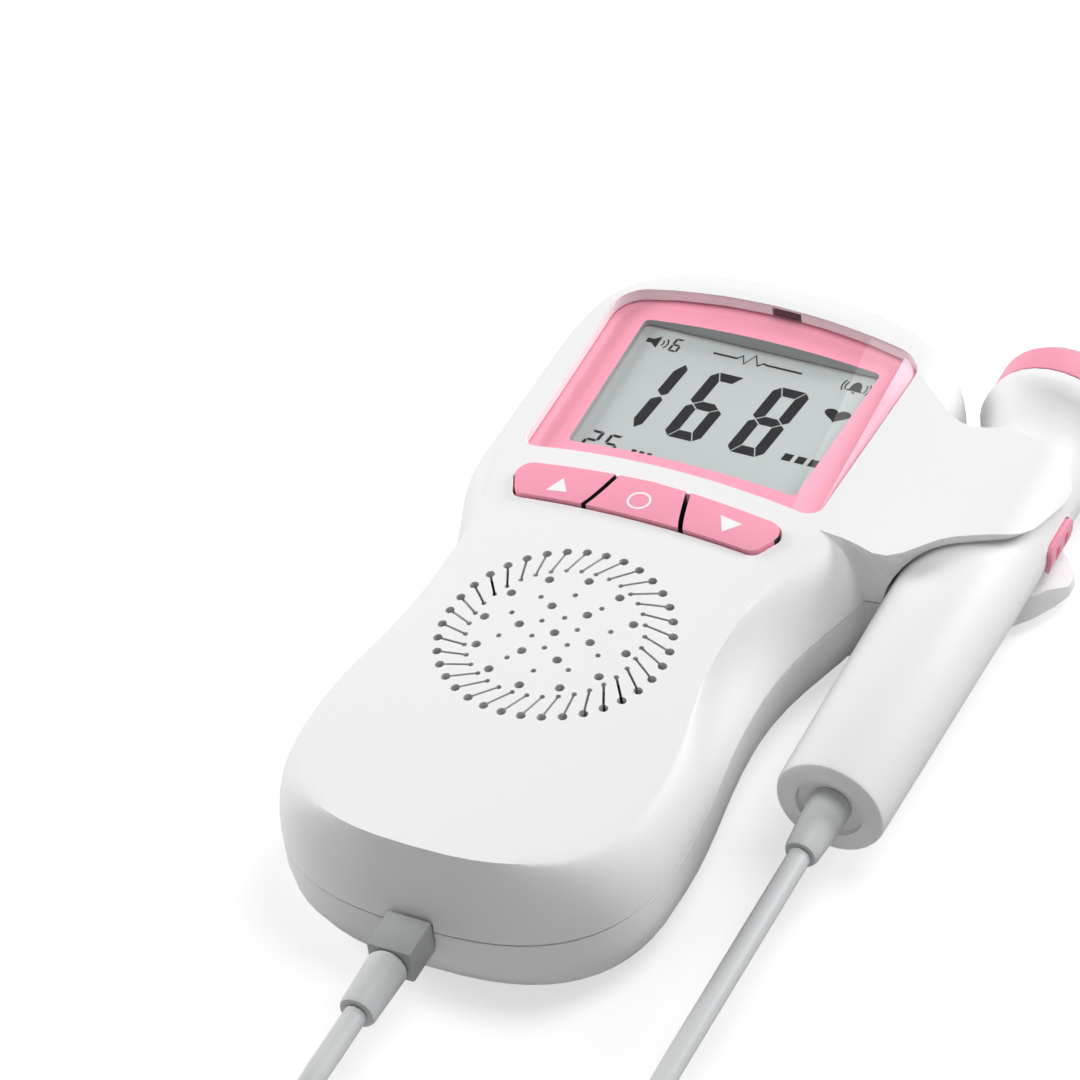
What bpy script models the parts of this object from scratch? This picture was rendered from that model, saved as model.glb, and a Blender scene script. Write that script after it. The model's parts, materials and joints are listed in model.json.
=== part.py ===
# Fetal doppler monitor: a two-shell handset body with a display, three keys and a drilled speaker
# grille, a clip-in probe held in a C-shaped side holder, and the lead that joins the two.
# Metres, +Z up. The body lies on its back, its display end towards +Y, the probe on the +X side.
# Sizes are given in the body's own frame: x from the centre line, y from the speaker's centre, z from
# the table. One empty carries everything and moves that frame to the middle of the footprint.

import bmesh
import bpy
import math
from mathutils import Vector

# General: walls and fits
WALL = 0.002
FIT = 0.0003
SHELL_GAP = 0.0003
CUT_OVERRUN = 0.003

# Grille and speaker: the grille's rim sets the speaker's size, and the speaker the waist's width
GRILLE_RADIUS = 0.0175
GRILLE_TICK_RADIUS = 0.763 * GRILLE_RADIUS
GRILLE_TICK_TURN = 8.6
GRILLE_OUTER_COUNT = 36
GRILLE_BIG_HOLE = 0.00075
GRILLE_SMALL_HOLE = 0.00045
GRILLE_TICK_HALF = 0.0002
SPEAKER_BORDER = 0.0025
SPEAKER_RADIUS = GRILLE_RADIUS + SPEAKER_BORDER
SPEAKER_DROP = 0.0044
SPEAKER_FLANGE = 0.001
SPEAKER_DEPTH = 0.0042
SPEAKER_RIM = 0.0025
BASKET_WALL = 0.0007
MAGNET_RADIUS = 0.45 * SPEAKER_RADIUS
MAGNET_DEPTH = 0.0019
CLOTH_THICKNESS = 0.0004
SPEAKER_RIB = 0.0012
SPEAKER_RIB_DEPTH = SPEAKER_DROP + 0.5 * SPEAKER_DEPTH

# Face: the keys and the window stacked above the speaker, up to the display end
KEY_TO_SPEAKER = 0.006
KEY_BAND_HEIGHT = 0.0084
KEY_TO_WINDOW = 0.0038
WINDOW_HEIGHT = 0.04
WINDOW_END_BORDER = 0.0102
KEY_BOTTOM_Y = SPEAKER_RADIUS + KEY_TO_SPEAKER
KEY_TOP_Y = KEY_BOTTOM_Y + KEY_BAND_HEIGHT
WINDOW_BOTTOM_Y = KEY_TOP_Y + KEY_TO_WINDOW
WINDOW_TOP_Y = WINDOW_BOTTOM_Y + WINDOW_HEIGHT
HEAD_END_Y = WINDOW_TOP_Y + WINDOW_END_BORDER

# Cells and battery door
CELL_RADIUS = 0.00725
CELL_LENGTH = 0.0492
CELL_TIP_RADIUS = 0.0026
CELL_TIP_LENGTH = 0.001
CELL_PLAY = 0.0005
CELL_SPACING = 2.0 * CELL_RADIUS + CELL_PLAY
CELL_SIDE_PLAY = 0.00065
CELL_TIP_PLAY = 0.0002
CONTACT_THICKNESS = 0.0004
SPRING_LENGTH = 0.0042
SPRING_RADIUS = 0.0031
SPRING_WIRE = 0.0003
SPRING_TURNS = 4
DOOR_THICKNESS = 0.0016
DOOR_RECESS = 0.0003
DOOR_LEDGE = 0.0014
DOOR_CORNER = 0.0025
DOOR_AXIS_SETBACK = 0.0005
DOOR_END_GAP = 0.0009
DOOR_PAD = 0.0012
CELL_LIFT = 0.00075
CELL_Z = DOOR_RECESS + DOOR_THICKNESS + CELL_LIFT + CELL_RADIUS
BAY_START_Y = -0.0378
CONTACT_ROOM = SPRING_LENGTH + 2.0 * CONTACT_THICKNESS + 4.0 * FIT
BAY_LENGTH = CELL_LENGTH + CELL_TIP_LENGTH + CELL_TIP_PLAY + CONTACT_ROOM
BAY_HALF_WIDTH = 0.5 * CELL_SPACING + CELL_RADIUS + CELL_SIDE_PLAY
BAY_WALL = 0.0012
BAY_TOP_Z = CELL_Z + 0.4 * CELL_RADIUS

# Body: height, as the stack of door, cell, magnet and speaker under the grille
CELL_TO_MAGNET = 0.00005
BODY_HEIGHT = CELL_Z + CELL_RADIUS + CELL_TO_MAGNET + MAGNET_DEPTH + FIT + SPEAKER_DEPTH + SPEAKER_DROP
CROWN_RADIUS = 0.1463
PARTING_SHARE = 0.5125
PARTING_Z = PARTING_SHARE * BODY_HEIGHT
BOTTOM_FILLET = 0.35 * BODY_HEIGHT

# Body: plan
HEEL_ROOM = 0.0114
HEEL_END_Y = BAY_START_Y - HEEL_ROOM
SPEAKER_ROOM = 0.008
HEEL_SWELL = 0.0027
HEAD_SWELL = 0.0057
WAIST_HALF_WIDTH = SPEAKER_RADIUS + SPEAKER_ROOM
HEEL_HALF_WIDTH = WAIST_HALF_WIDTH + HEEL_SWELL
HEAD_HALF_WIDTH = WAIST_HALF_WIDTH + HEAD_SWELL
HEEL_CAP_DEPTH = 0.02645
HEEL_CAP_Y = HEEL_END_Y + HEEL_CAP_DEPTH
WAIST_Y = 0.0075
HEAD_SIDE_SETBACK = 0.0002
HEAD_SIDE_Y = WINDOW_BOTTOM_Y - HEAD_SIDE_SETBACK
HEAD_CAP_DEPTH = 0.0244
HEAD_CAP_Y = HEAD_END_Y - HEAD_CAP_DEPTH
HEEL_CAP_POWER = 2.6
HEAD_CAP_POWER = 3.1
WAIST_LAG_POWER = 1.3
HEEL_INSET = 0.003
HEEL_SIDE_INSET = 0.0042
WAIST_INSET = 0.0044
HEAD_INSET = 0.0072
HEAD_END_INSET = 0.0084
SCOOP_REACH = 0.026
FILLET_POWER = 2.1
SLANT_START = 0.35
SLANT_SPAN = 0.5
SLANT_POWER = 1.15
EDGE_SHARE = 0.7
HEAD_FILLET_POWER = 2.5

# Probe and its holder
HANDLE_RADIUS = 0.0093
HANDLE_END_RADIUS = 0.925 * HANDLE_RADIUS
PROBE_GAP = 0.00285
PROBE_X = HEAD_HALF_WIDTH + HANDLE_RADIUS + PROBE_GAP
PROBE_DROP = 0.00085
PROBE_Z = PARTING_Z - PROBE_DROP
ARM_START_SETBACK = 0.0036
ARM_END_SETBACK = 0.0139
ARM_START_Y = WINDOW_BOTTOM_Y - ARM_START_SETBACK
ARM_END_Y = HEAD_END_Y - ARM_END_SETBACK
FLARE_OVERLAP = 0.005
FLARE_LENGTH = 0.0089
HANDLE_LENGTH = 0.0759
HANDLE_TAPER_LENGTH = 0.0484
FLARE_START_Y = ARM_END_Y - FLARE_OVERLAP
FLARE_RIM_Y = FLARE_START_Y + FLARE_LENGTH
PROBE_END_Y = FLARE_START_Y - HANDLE_LENGTH
HANDLE_FULL_Y = PROBE_END_Y + HANDLE_TAPER_LENGTH
RIM_FLARE = 0.0029
FLARE_RIM_RADIUS = HANDLE_RADIUS + RIM_FLARE
RIM_LENGTH = 0.0025
BAND_LENGTH = 0.0056
BAND_STEP = 0.0002
FACE_RISE = 0.002
BAND_START_Y = FLARE_RIM_Y + RIM_LENGTH
BAND_END_Y = BAND_START_Y + BAND_LENGTH
BAND_RADIUS = FLARE_RIM_RADIUS - BAND_STEP
PROBE_FACE_Y = BAND_END_Y + FACE_RISE
PROBE_WALL = 0.0016
HOLDER_PLAY = 0.0004
ARM_THICKNESS = 0.002
ARM_BLEND_X = 0.8012 * HEAD_HALF_WIDTH
ARM_TIP_ANGLE = 31.0
ARM_ROOT_ANGLE = 172.0
JAW_TIP_ANGLE = -48.0
JAW_TONGUE_THICKNESS = 0.002
JAW_TONGUE_DROP = 0.001
JAW_TONGUE_X = PROBE_X + 1.2 * HANDLE_RADIUS
JAW_TONGUE_TOP_Z = PROBE_Z - 0.785 * HANDLE_RADIUS
JAW_TONGUE_BOTTOM_Z = JAW_TONGUE_TOP_Z - JAW_TONGUE_DROP - JAW_TONGUE_THICKNESS
JAW_ROOT_BOTTOM_Z = 0.0008

# Window and display
WINDOW_BORDER = 0.0075
WINDOW_TAPER = 0.0012
WINDOW_TOP_HALF = HEAD_HALF_WIDTH - WINDOW_BORDER
WINDOW_BOTTOM_HALF = WINDOW_TOP_HALF - WINDOW_TAPER
WINDOW_BOTTOM_BOW = -0.0006
WINDOW_TOP_BOW = 0.0017
WINDOW_BOTTOM_CORNER = 0.0028
WINDOW_TOP_CORNER = 0.0045
LENS_DROP = 0.0002
LENS_THICKNESS = 0.0018
FRAME_LIP = 0.0008
FRAME_THICKNESS = 0.0008
SCREEN_LOW_BORDER = 0.0043
SCREEN_HIGH_BORDER = 0.0056
SCREEN_SIDE_BORDER = 0.0058
SCREEN_TAPER = 0.001
SCREEN_BOTTOM_Y = WINDOW_BOTTOM_Y + SCREEN_LOW_BORDER
SCREEN_TOP_Y = WINDOW_TOP_Y - SCREEN_HIGH_BORDER
SCREEN_BOTTOM_HALF = WINDOW_BOTTOM_HALF - SCREEN_SIDE_BORDER
SCREEN_TOP_HALF = SCREEN_BOTTOM_HALF + SCREEN_TAPER
SCREEN_CORNER = 0.0008
SKIRT_WIDTH = 0.0011
LCD_DROP = 0.005
LCD_THICKNESS = 0.0015
LCD_MARGIN = 0.001
TRAY_THICKNESS = 0.0011
SLOT_X = 0.0019
SLOT_WIDTH = 0.0044
SLOT_DEPTH = 0.0012
SLOT_ROOF = 0.0005

# Keys
KEY_TOP_BOW = 0.0008
KEY_BAND_WIDE_HALF = 0.8 * WAIST_HALF_WIDTH
KEY_BAND_TOP_HALF = 0.96 * KEY_BAND_WIDE_HALF
KEY_BAND_WIDE_Y = KEY_BOTTOM_Y + 0.5714 * KEY_BAND_HEIGHT
KEY_BAND_BOTTOM_HALF = 0.9018 * KEY_BAND_WIDE_HALF
KEY_CORNER = 0.0021
KEY_SPLIT_TOP = 0.0058
KEY_SPLIT_BOTTOM = 0.0083
KEY_SPLIT_GAP = 0.0008
KEY_SPLIT_POWER = 0.75
KEY_PLAY = 0.0003
KEY_PROUD = 0.00065
KEY_FLANGE = 0.0008
KEY_FLANGE_THICKNESS = 0.0009
KEY_STEM_RADIUS = 0.0014
KEY_SIDE_X = 0.0145
DOME_RADIUS = 0.0026
DOME_HEIGHT = 0.0013

# Board
BOARD_DROP = 0.0085
BOARD_THICKNESS = 0.0016
BOARD_LOW_BORDER = 0.0025
BOARD_START_Y = KEY_BOTTOM_Y - BOARD_LOW_BORDER
BOARD_END_Y = WINDOW_TOP_Y + 1.25 * FRAME_LIP
BOARD_PLAY = 0.0021
BOARD_HALF_WIDTH = HEAD_HALF_WIDTH - WALL - BOARD_PLAY
BOARD_WAIST_HALF = WAIST_HALF_WIDTH - WALL - BOARD_LOW_BORDER
BOARD_CORNER = 0.006
POST_RADIUS = 0.0029
POST_HEIGHT = 0.0021
POST_SETBACK = 0.002
POST_X = BOARD_HALF_WIDTH - POST_SETBACK
POST_LOW_Y = SCREEN_BOTTOM_Y + 0.1 * (SCREEN_TOP_Y - SCREEN_BOTTOM_Y)
POST_HIGH_Y = SCREEN_BOTTOM_Y + 0.78 * (SCREEN_TOP_Y - SCREEN_BOTTOM_Y)
SMALL_SCREW_SHANK = 0.0008
SMALL_SCREW_HEAD = 0.0017
SMALL_SCREW_HEAD_HEIGHT = 0.0011
SMALL_SCREW_LENGTH = BOARD_THICKNESS + 0.95 * POST_HEIGHT

# Case screws
CASE_POST_RADIUS = 0.0034
POST_TO_BAY = 0.0005
SCREW_SIDE_X = BAY_HALF_WIDTH + BAY_WALL + CASE_POST_RADIUS + POST_TO_BAY
FRONT_POST_RADIUS = 0.0025
SCREW_HEEL_INSET = 0.0088
SCREW_TO_BOARD = 0.0015
SCREW_HEEL_Y = BAY_START_Y + SCREW_HEEL_INSET
SCREW_WAIST_Y = BOARD_START_Y - FRONT_POST_RADIUS - SCREW_TO_BOARD
CASE_HEAD_RADIUS = 0.0019
CASE_HEAD_HEIGHT = 0.0014
CASE_SHANK_RADIUS = 0.0011
CASE_RECESS_RADIUS = CASE_HEAD_RADIUS + FIT
CASE_SEAT_DROP = 0.00685
CASE_SEAT_Z = PARTING_Z - CASE_SEAT_DROP
CASE_GRIP = 0.00415
CASE_SHANK_LENGTH = PARTING_Z + CASE_GRIP - CASE_SEAT_Z

# Lead, plug and socket
CABLE_RADIUS = 0.00175
PLUG_WIDTH = 0.0071
PLUG_HEIGHT = 0.0058
PLUG_DROP = 0.00045
PLUG_Z = PARTING_Z - PLUG_DROP
PLUG_LENGTH = 0.0069
PLUG_BEVEL = 0.0004
PLUG_RELIEF_LENGTH = 0.0099
PLUG_RELIEF_ROOT = 1.8 * CABLE_RADIUS
PLUG_RELIEF_TIP = 1.65 * CABLE_RADIUS
TONGUE_WIDTH = 0.0052
TONGUE_HEIGHT = 0.002
TONGUE_LENGTH = 0.0072
LATCH_WIDTH = 0.0036
LATCH_LENGTH = 0.0048
LATCH_HEIGHT = 0.0011
SOCKET_WIDTH = 1.8077 * TONGUE_WIDTH
SOCKET_HEIGHT = 3.4 * TONGUE_HEIGHT
SOCKET_LENGTH = 0.9306 * TONGUE_LENGTH
RELIEF_ROOT = 1.8286 * CABLE_RADIUS
RELIEF_TIP = 1.5143 * CABLE_RADIUS
RELIEF_LENGTH = 0.0108
COUNTERBORE_RADIUS = 1.6563 * RELIEF_ROOT
COUNTERBORE_DEPTH = 0.0012

# Probe pad and inner pieces
PAD_SETBACK = 0.0073
PAD_LENGTH = 0.0084
PAD_END_Y = FLARE_START_Y - PAD_SETBACK
PAD_START_Y = PAD_END_Y - PAD_LENGTH
PAD_HALF_ANGLE = 17.0
PAD_ANGLE = -11.0
PAD_PROUD = 0.0007
PAD_INSET = 0.0006
DISC_RADIUS = 0.7583 * BAND_RADIUS
DISC_THICKNESS = 0.001
BLOCK_LENGTH = 0.006
PROBE_BOARD_LENGTH = 0.034
PROBE_BOARD_WIDTH = 1.7 * (HANDLE_RADIUS - PROBE_WALL)
PROBE_BOARD_THICKNESS = 0.0012

# Free lead: one coil of two layers beside the heel, and a run to each end
COIL_Y = -0.108
COIL_OUTER_RADIUS = 0.0244
COIL_GAP = 0.00045
COIL_PITCH = 2.0 * CABLE_RADIUS + COIL_GAP
COIL_LAYER_RISE = COIL_PITCH
COIL_TURNS = 6.5
COIL_LIFT = 0.00005
COIL_BASE_Z = CABLE_RADIUS + COIL_LIFT
LOOP_POINTS = 24

# Facets
FACE_COLUMNS = 11
HEEL_STEPS = 14
SIDE_STEPS = 14
ARM_STEPS = 8
HEAD_STEPS = 12
WALL_LEVELS = 6
INNER_LEVELS = 3
INNER_COLUMNS = 5
PROBE_STEPS = 32
ROUND_STEPS = 32
CROWN_COLUMN = 0.005
WRAP_COLUMN = 0.0016
BIG_HOLE_STEPS = 12
SMALL_HOLE_STEPS = 8

WELD = 0.000001


def crown(x):
    """Height of the moulded face above the table at a distance x from the centre line."""
    return BODY_HEIGHT - x * x / (2.0 * CROWN_RADIUS)


def smooth(share):
    """Smooth step from 0 to 1 over a share from 0 to 1."""
    held = min(max(share, 0.0), 1.0)
    return 0.5 - 0.5 * math.cos(math.pi * held)


def side_half_width(y):
    """Half width of the body at the parting plane between the two end caps."""
    if y <= WAIST_Y:
        share = (y - HEEL_CAP_Y) / (WAIST_Y - HEEL_CAP_Y)
        return HEEL_HALF_WIDTH + (WAIST_HALF_WIDTH - HEEL_HALF_WIDTH) * smooth(share)
    share = (y - WAIST_Y) / (HEAD_SIDE_Y - WAIST_Y)
    lagged = min(max(share, 0.0), 1.0) ** WAIST_LAG_POWER
    return WAIST_HALF_WIDTH + (HEAD_HALF_WIDTH - WAIST_HALF_WIDTH) * smooth(lagged)


def cap_point(angle, half_width, depth, power):
    """Point of a superelliptic end cap, angle from its widest place (0) to its tip (90 degrees)."""
    across = half_width * max(math.cos(angle), 0.0) ** (2.0 / power)
    along = depth * max(math.sin(angle), 0.0) ** (2.0 / power)
    return across, along


def head_half_width(y):
    """Half width of the head cap at the parting plane."""
    share = (y - HEAD_CAP_Y) / (HEAD_END_Y - HEAD_CAP_Y)
    return HEAD_HALF_WIDTH * (1.0 - share ** HEAD_CAP_POWER) ** (1.0 / HEAD_CAP_POWER)


def right_outline():
    """Right half of the parting outline, heel tip to head tip, with rows at both edges of the arm."""
    points = []
    for step in range(HEEL_STEPS):
        angle = math.radians(90.0) * (1.0 - step / HEEL_STEPS)
        across, along = cap_point(angle, HEEL_HALF_WIDTH, HEEL_CAP_Y - HEEL_END_Y, HEEL_CAP_POWER)
        points.append((across, HEEL_CAP_Y - along))
    for step in range(SIDE_STEPS):
        y = HEEL_CAP_Y + (ARM_START_Y - HEEL_CAP_Y) * step / SIDE_STEPS
        points.append((side_half_width(y), y))
    first_row = len(points)
    for step in range(ARM_STEPS):
        y = ARM_START_Y + (HEAD_CAP_Y - ARM_START_Y) * step / ARM_STEPS
        points.append((side_half_width(y), y))
    for step in range(2):
        y = HEAD_CAP_Y + (ARM_END_Y - HEAD_CAP_Y) * step / 2
        points.append((head_half_width(y), y))
    last_row = len(points)
    arm_angle = head_cap_angle(ARM_END_Y)
    for step in range(HEAD_STEPS + 1):
        angle = arm_angle + (math.radians(90.0) - arm_angle) * step / HEAD_STEPS
        across, along = cap_point(angle, HEAD_HALF_WIDTH, HEAD_END_Y - HEAD_CAP_Y, HEAD_CAP_POWER)
        if step == HEAD_STEPS:
            across = 0.0
        points.append((across, HEAD_CAP_Y + along))
    points[0] = (0.0, HEEL_END_Y)
    return points, first_row, last_row


def head_cap_angle(y):
    """Angle on the head cap whose point lies at y."""
    share = (y - HEAD_CAP_Y) / (HEAD_END_Y - HEAD_CAP_Y)
    return math.asin(share ** (HEAD_CAP_POWER / 2.0))


def inward(points, index):
    """Unit vector that points into the body, square to the outline at one of its points."""
    if index == 0:
        return 0.0, 1.0
    if index == len(points) - 1:
        return 0.0, -1.0
    before = points[index - 1]
    after = points[index + 1]
    length = math.hypot(after[0] - before[0], after[1] - before[1])
    return -(after[1] - before[1]) / length, (after[0] - before[0]) / length


OUTLINE, ARM_FIRST, ARM_LAST = right_outline()


def edge_inset(index):
    """How far the face edge lies inside the parting outline at one outline point."""
    x, y = OUTLINE[index]
    if y < HEEL_CAP_Y:
        return HEEL_INSET + (HEEL_SIDE_INSET - HEEL_INSET) * smooth(x / HEEL_HALF_WIDTH)
    if y < WAIST_Y:
        share = (y - HEEL_CAP_Y) / (WAIST_Y - HEEL_CAP_Y)
        return HEEL_SIDE_INSET + (WAIST_INSET - HEEL_SIDE_INSET) * smooth(share)
    share = (y - WAIST_Y) / (HEAD_SIDE_Y - WAIST_Y)
    side = WAIST_INSET + (HEAD_INSET - WAIST_INSET) * smooth(share)
    return side + (HEAD_END_INSET - HEAD_INSET) * head_end_share(y)


def head_end_share(y):
    """How far a place on the head cap is from its sides (0) to its tip (1)."""
    return smooth((y - HEAD_CAP_Y) / (HEAD_END_Y - HEAD_CAP_Y))


def wall_share(index, height):
    """Share of the edge inset that the side wall has reached at a share of its height."""
    x, y = OUTLINE[index]
    slant = 0.0
    if y < HEEL_CAP_Y:
        slant = 1.0 - smooth((x / HEEL_HALF_WIDTH - SLANT_START) / SLANT_SPAN)
    scoop = 1.0 - smooth(abs(y - WAIST_Y) / SCOOP_REACH)
    power = FILLET_POWER + (HEAD_FILLET_POWER - FILLET_POWER) * head_end_share(y)
    round_wall = 1.0 - math.sqrt(max(1.0 - height ** power, 0.0))
    scooped = 1.0 - (1.0 - height) ** 2
    other = scoop * scooped + (1.0 - scoop) * round_wall
    return slant * height ** SLANT_POWER + (1.0 - slant) * other


def wall_point(index, height, side, offset):
    """Point of the front shell's side wall, or of the same wall moved inwards by an offset."""
    x, y = OUTLINE[index]
    normal = inward(OUTLINE, index)
    depth = edge_inset(index) * wall_share(index, height) + offset
    if offset and height == 1.0:
        depth = edge_inset(index) + offset * EDGE_SHARE
    px = x + normal[0] * depth
    py = y + normal[1] * depth
    top = crown(px) - offset
    return Vector((side * max(px, 0.0), py, PARTING_Z + (top - PARTING_Z) * height))


def new_mesh():
    return bmesh.new()


def add_grid(mesh, rows):
    """Quads between rows of points that all have the same count."""
    layers = [[mesh.verts.new(point) for point in row] for row in rows]
    for low, high in zip(layers, layers[1:]):
        for i in range(len(low) - 1):
            mesh.faces.new((low[i], low[i + 1], high[i + 1], high[i]))


def add_face(mesh, points):
    mesh.faces.new([mesh.verts.new(point) for point in points])


def close_up(mesh):
    """Weld patches that share their edge points, drop what has no area, and turn faces outwards."""
    bmesh.ops.remove_doubles(mesh, verts=mesh.verts, dist=WELD)
    bmesh.ops.dissolve_degenerate(mesh, edges=mesh.edges, dist=WELD)
    bmesh.ops.recalc_face_normals(mesh, faces=mesh.faces)
    return mesh


def colour_value(hex_colour):
    """Linear colour from sRGB hex digits."""
    channels = [int(hex_colour[i:i + 2], 16) / 255.0 for i in (0, 2, 4)]
    return [c / 12.92 if c <= 0.04045 else ((c + 0.055) / 1.055) ** 2.4 for c in channels]


def finish(name, hex_colour, roughness, metallic=0.0, alpha=1.0):
    """Principled material of one sub-part."""
    material = bpy.data.materials.new(name + "_material")
    material.use_nodes = True
    shader = material.node_tree.nodes["Principled BSDF"]
    shader.inputs["Base Color"].default_value = colour_value(hex_colour) + [1.0]
    shader.inputs["Roughness"].default_value = roughness
    shader.inputs["Metallic"].default_value = metallic
    shader.inputs["Alpha"].default_value = alpha
    material.diffuse_color = colour_value(hex_colour) + [alpha]
    return material


def piece(name, mesh, material, parent, origin=(0.0, 0.0, 0.0), smooth_angle=35.0):
    """Object of one sub-part, its origin at a given place of the body's frame."""
    centre = Vector(origin)
    bmesh.ops.translate(mesh, verts=mesh.verts, vec=-centre)
    data = bpy.data.meshes.new(name)
    mesh.to_mesh(data)
    mesh.free()
    data.shade_smooth()
    data.set_sharp_from_angle(angle=math.radians(smooth_angle))
    item = bpy.data.objects.new(name, data)
    item.location = centre
    bpy.context.collection.objects.link(item)
    item.parent = parent
    if material:
        data.materials.append(material)
    return item


def shape_with(item, mesh, operation="DIFFERENCE", origin=(0.0, 0.0, 0.0)):
    """Cut a shape out of a piece, or add it, with an exact Boolean of a hidden helper object."""
    number = len(item.modifiers)
    helper = piece(item.name + "_shape_" + str(number), mesh, None, item.parent, origin)
    helper.hide_render = True
    helper.display_type = "WIRE"
    step = item.modifiers.new("shape_" + str(number), "BOOLEAN")
    step.operation = operation
    step.solver = "EXACT"
    step.object = helper
    return helper


def prism(outline, low, high):
    """Straight prism over a plan outline, from height low to height high."""
    mesh = new_mesh()
    face = mesh.faces.new([mesh.verts.new((x, y, low)) for x, y in outline])
    grown = bmesh.ops.extrude_face_region(mesh, geom=[face])
    moved = [item for item in grown["geom"] if isinstance(item, bmesh.types.BMVert)]
    bmesh.ops.translate(mesh, verts=moved, vec=(0.0, 0.0, high - low))
    return close_up(mesh)


def crowned_prism(outline, low, high, flat_base=False):
    """Prism whose faces follow the crown: low and high are distances from the crowned face."""
    mesh = prism(outline, low, high)
    widest = max(abs(x) for x, _ in outline)
    slice_mesh(mesh, widest, CROWN_COLUMN)
    middle = 0.5 * (low + high)
    for vert in mesh.verts:
        if flat_base and vert.co.z < middle:
            vert.co.z += BODY_HEIGHT
        else:
            vert.co.z += crown(vert.co.x)
    return close_up(mesh)


def slice_mesh(mesh, widest, column):
    """Cut a plate into columns along x, so that it can be bent."""
    count = int(widest / column)
    for i in range(-count, count + 1):
        geometry = list(mesh.verts) + list(mesh.edges) + list(mesh.faces)
        bmesh.ops.bisect_plane(mesh, geom=geometry, dist=WELD, plane_co=(i * column, 0.0, 0.0),
                               plane_no=(1.0, 0.0, 0.0))


def box(centre, size):
    """Closed box of a size about a centre."""
    mesh = new_mesh()
    bmesh.ops.create_cube(mesh, size=1.0)
    bmesh.ops.scale(mesh, verts=mesh.verts, vec=size)
    bmesh.ops.translate(mesh, verts=mesh.verts, vec=centre)
    return mesh


def bevelled_box(centre, size, bevel, steps=2):
    """Box with all its edges rounded."""
    mesh = box(centre, size)
    bmesh.ops.bevel(mesh, geom=mesh.edges, offset=bevel, segments=steps, profile=0.5,
                    affect="EDGES")
    return close_up(mesh)


def turned(profile, place, along="Y", steps=ROUND_STEPS):
    """Closed ring or solid turned from a profile of (radius, position) about an axis at a place."""
    mesh = new_mesh()
    rings = []
    for radius, position in profile:
        ring = []
        for i in range(steps):
            angle = 2.0 * math.pi * (i + 0.5) / steps
            a = radius * math.cos(angle)
            b = radius * math.sin(angle)
            point = (a, position, b) if along == "Y" else (a, b, position)
            ring.append(mesh.verts.new(Vector(place) + Vector(point)))
        rings.append(ring)
    loop = profile[0] == profile[-1]
    for low, high in zip(rings, rings[1:]):
        for i in range(steps):
            j = (i + 1) % steps
            mesh.faces.new((low[i], low[j], high[j], high[i]))
    if not loop:
        if profile[0][0] > 0.0:
            mesh.faces.new(rings[0])
        if profile[-1][0] > 0.0:
            mesh.faces.new(rings[-1])
    return close_up(mesh)


def rounded(corners, radii, steps=5):
    """Outline with each corner replaced by an arc of its own radius (0 keeps the corner)."""
    outline = []
    count = len(corners)
    for i, (corner, radius) in enumerate(zip(corners, radii)):
        here = Vector(corner)
        if radius <= 0.0:
            outline.append(tuple(here))
            continue
        back = (Vector(corners[i - 1]) - here).normalized()
        ahead = (Vector(corners[(i + 1) % count]) - here).normalized()
        half = 0.5 * back.angle(ahead)
        reach = radius / math.tan(half)
        middle = here + (back + ahead).normalized() * (radius / math.sin(half))
        start = here + back * reach - middle
        turn = math.pi - 2.0 * half
        sign = 1.0 if back.x * ahead.y - back.y * ahead.x < 0.0 else -1.0
        for k in range(steps + 1):
            angle = sign * turn * k / steps
            arm = Vector((start.x * math.cos(angle) - start.y * math.sin(angle),
                          start.x * math.sin(angle) + start.y * math.cos(angle)))
            outline.append(tuple(middle + arm))
    return outline


def circle(x, y, radius, steps):
    return [(x + radius * math.cos(2.0 * math.pi * (i + 0.5) / steps),
             y + radius * math.sin(2.0 * math.pi * (i + 0.5) / steps)) for i in range(steps)]


def bowed_window(bottom_y, top_y, bottom_half, top_half, bows, radii, grow=0.0):
    """Window outline with bowed lower and upper edges and rounded corners."""
    low, high = bottom_y - grow, top_y + grow
    wide_low, wide_high = bottom_half + grow, top_half + grow
    shares = (-0.66, -0.33, 0.0, 0.33, 0.66)
    corners = [(-wide_low, low + bows[0])]
    turns = [radii[0]]
    for share in shares:
        corners.append((share * wide_low, low + bows[0] * share * share))
        turns.append(0.0)
    corners.append((wide_low, low + bows[0]))
    corners.append((wide_high, high - bows[1]))
    turns += [radii[0], radii[1]]
    for share in reversed(shares):
        corners.append((share * wide_high, high - bows[1] * share * share))
        turns.append(0.0)
    corners.append((-wide_high, high - bows[1]))
    turns.append(radii[1])
    return rounded(corners, turns)


# Side wings: the arm over the probe on the front shell and the jaw under it on the back shell.
# Each station has a point of the outer surface, a point of the bore, and shares of the arm's length.
ARM_OUTER_SHARES = (0.2, 0.35, 0.47, 0.59, 0.7, 0.8, 0.9, 1.0)
ARM_OVER_ANGLES = (72.0, 64.0, 56.0, 49.0, 42.0, 36.0, ARM_TIP_ANGLE)
ARM_BORE_ANGLES = (ARM_ROOT_ANGLE, 160.0, 148.0, 137.0, 127.0, 117.0, 108.0, 99.0, 90.0) + ARM_OVER_ANGLES
ARM_LOW_SHARES = (0.0, 0.03, 0.015, -0.004, 0.0, 0.035, 0.09, 0.142, 0.175,
                  0.235, 0.268, 0.302, 0.343, 0.405, 0.52, 0.62)
ARM_LOW_BORE_SHARES = (0.01, 0.018, 0.042, 0.076, 0.104, 0.131, 0.153, 0.173, 0.193,
                       0.246, 0.276, 0.311, 0.352, 0.412, 0.525, 0.62)
ARM_HIGH_SHARES = (1.0, 0.995, 0.985, 0.94, 0.87, 0.82, 0.806, 0.8015, 0.8,
                   0.792, 0.784, 0.775, 0.765, 0.75, 0.73, 0.7)
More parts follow.
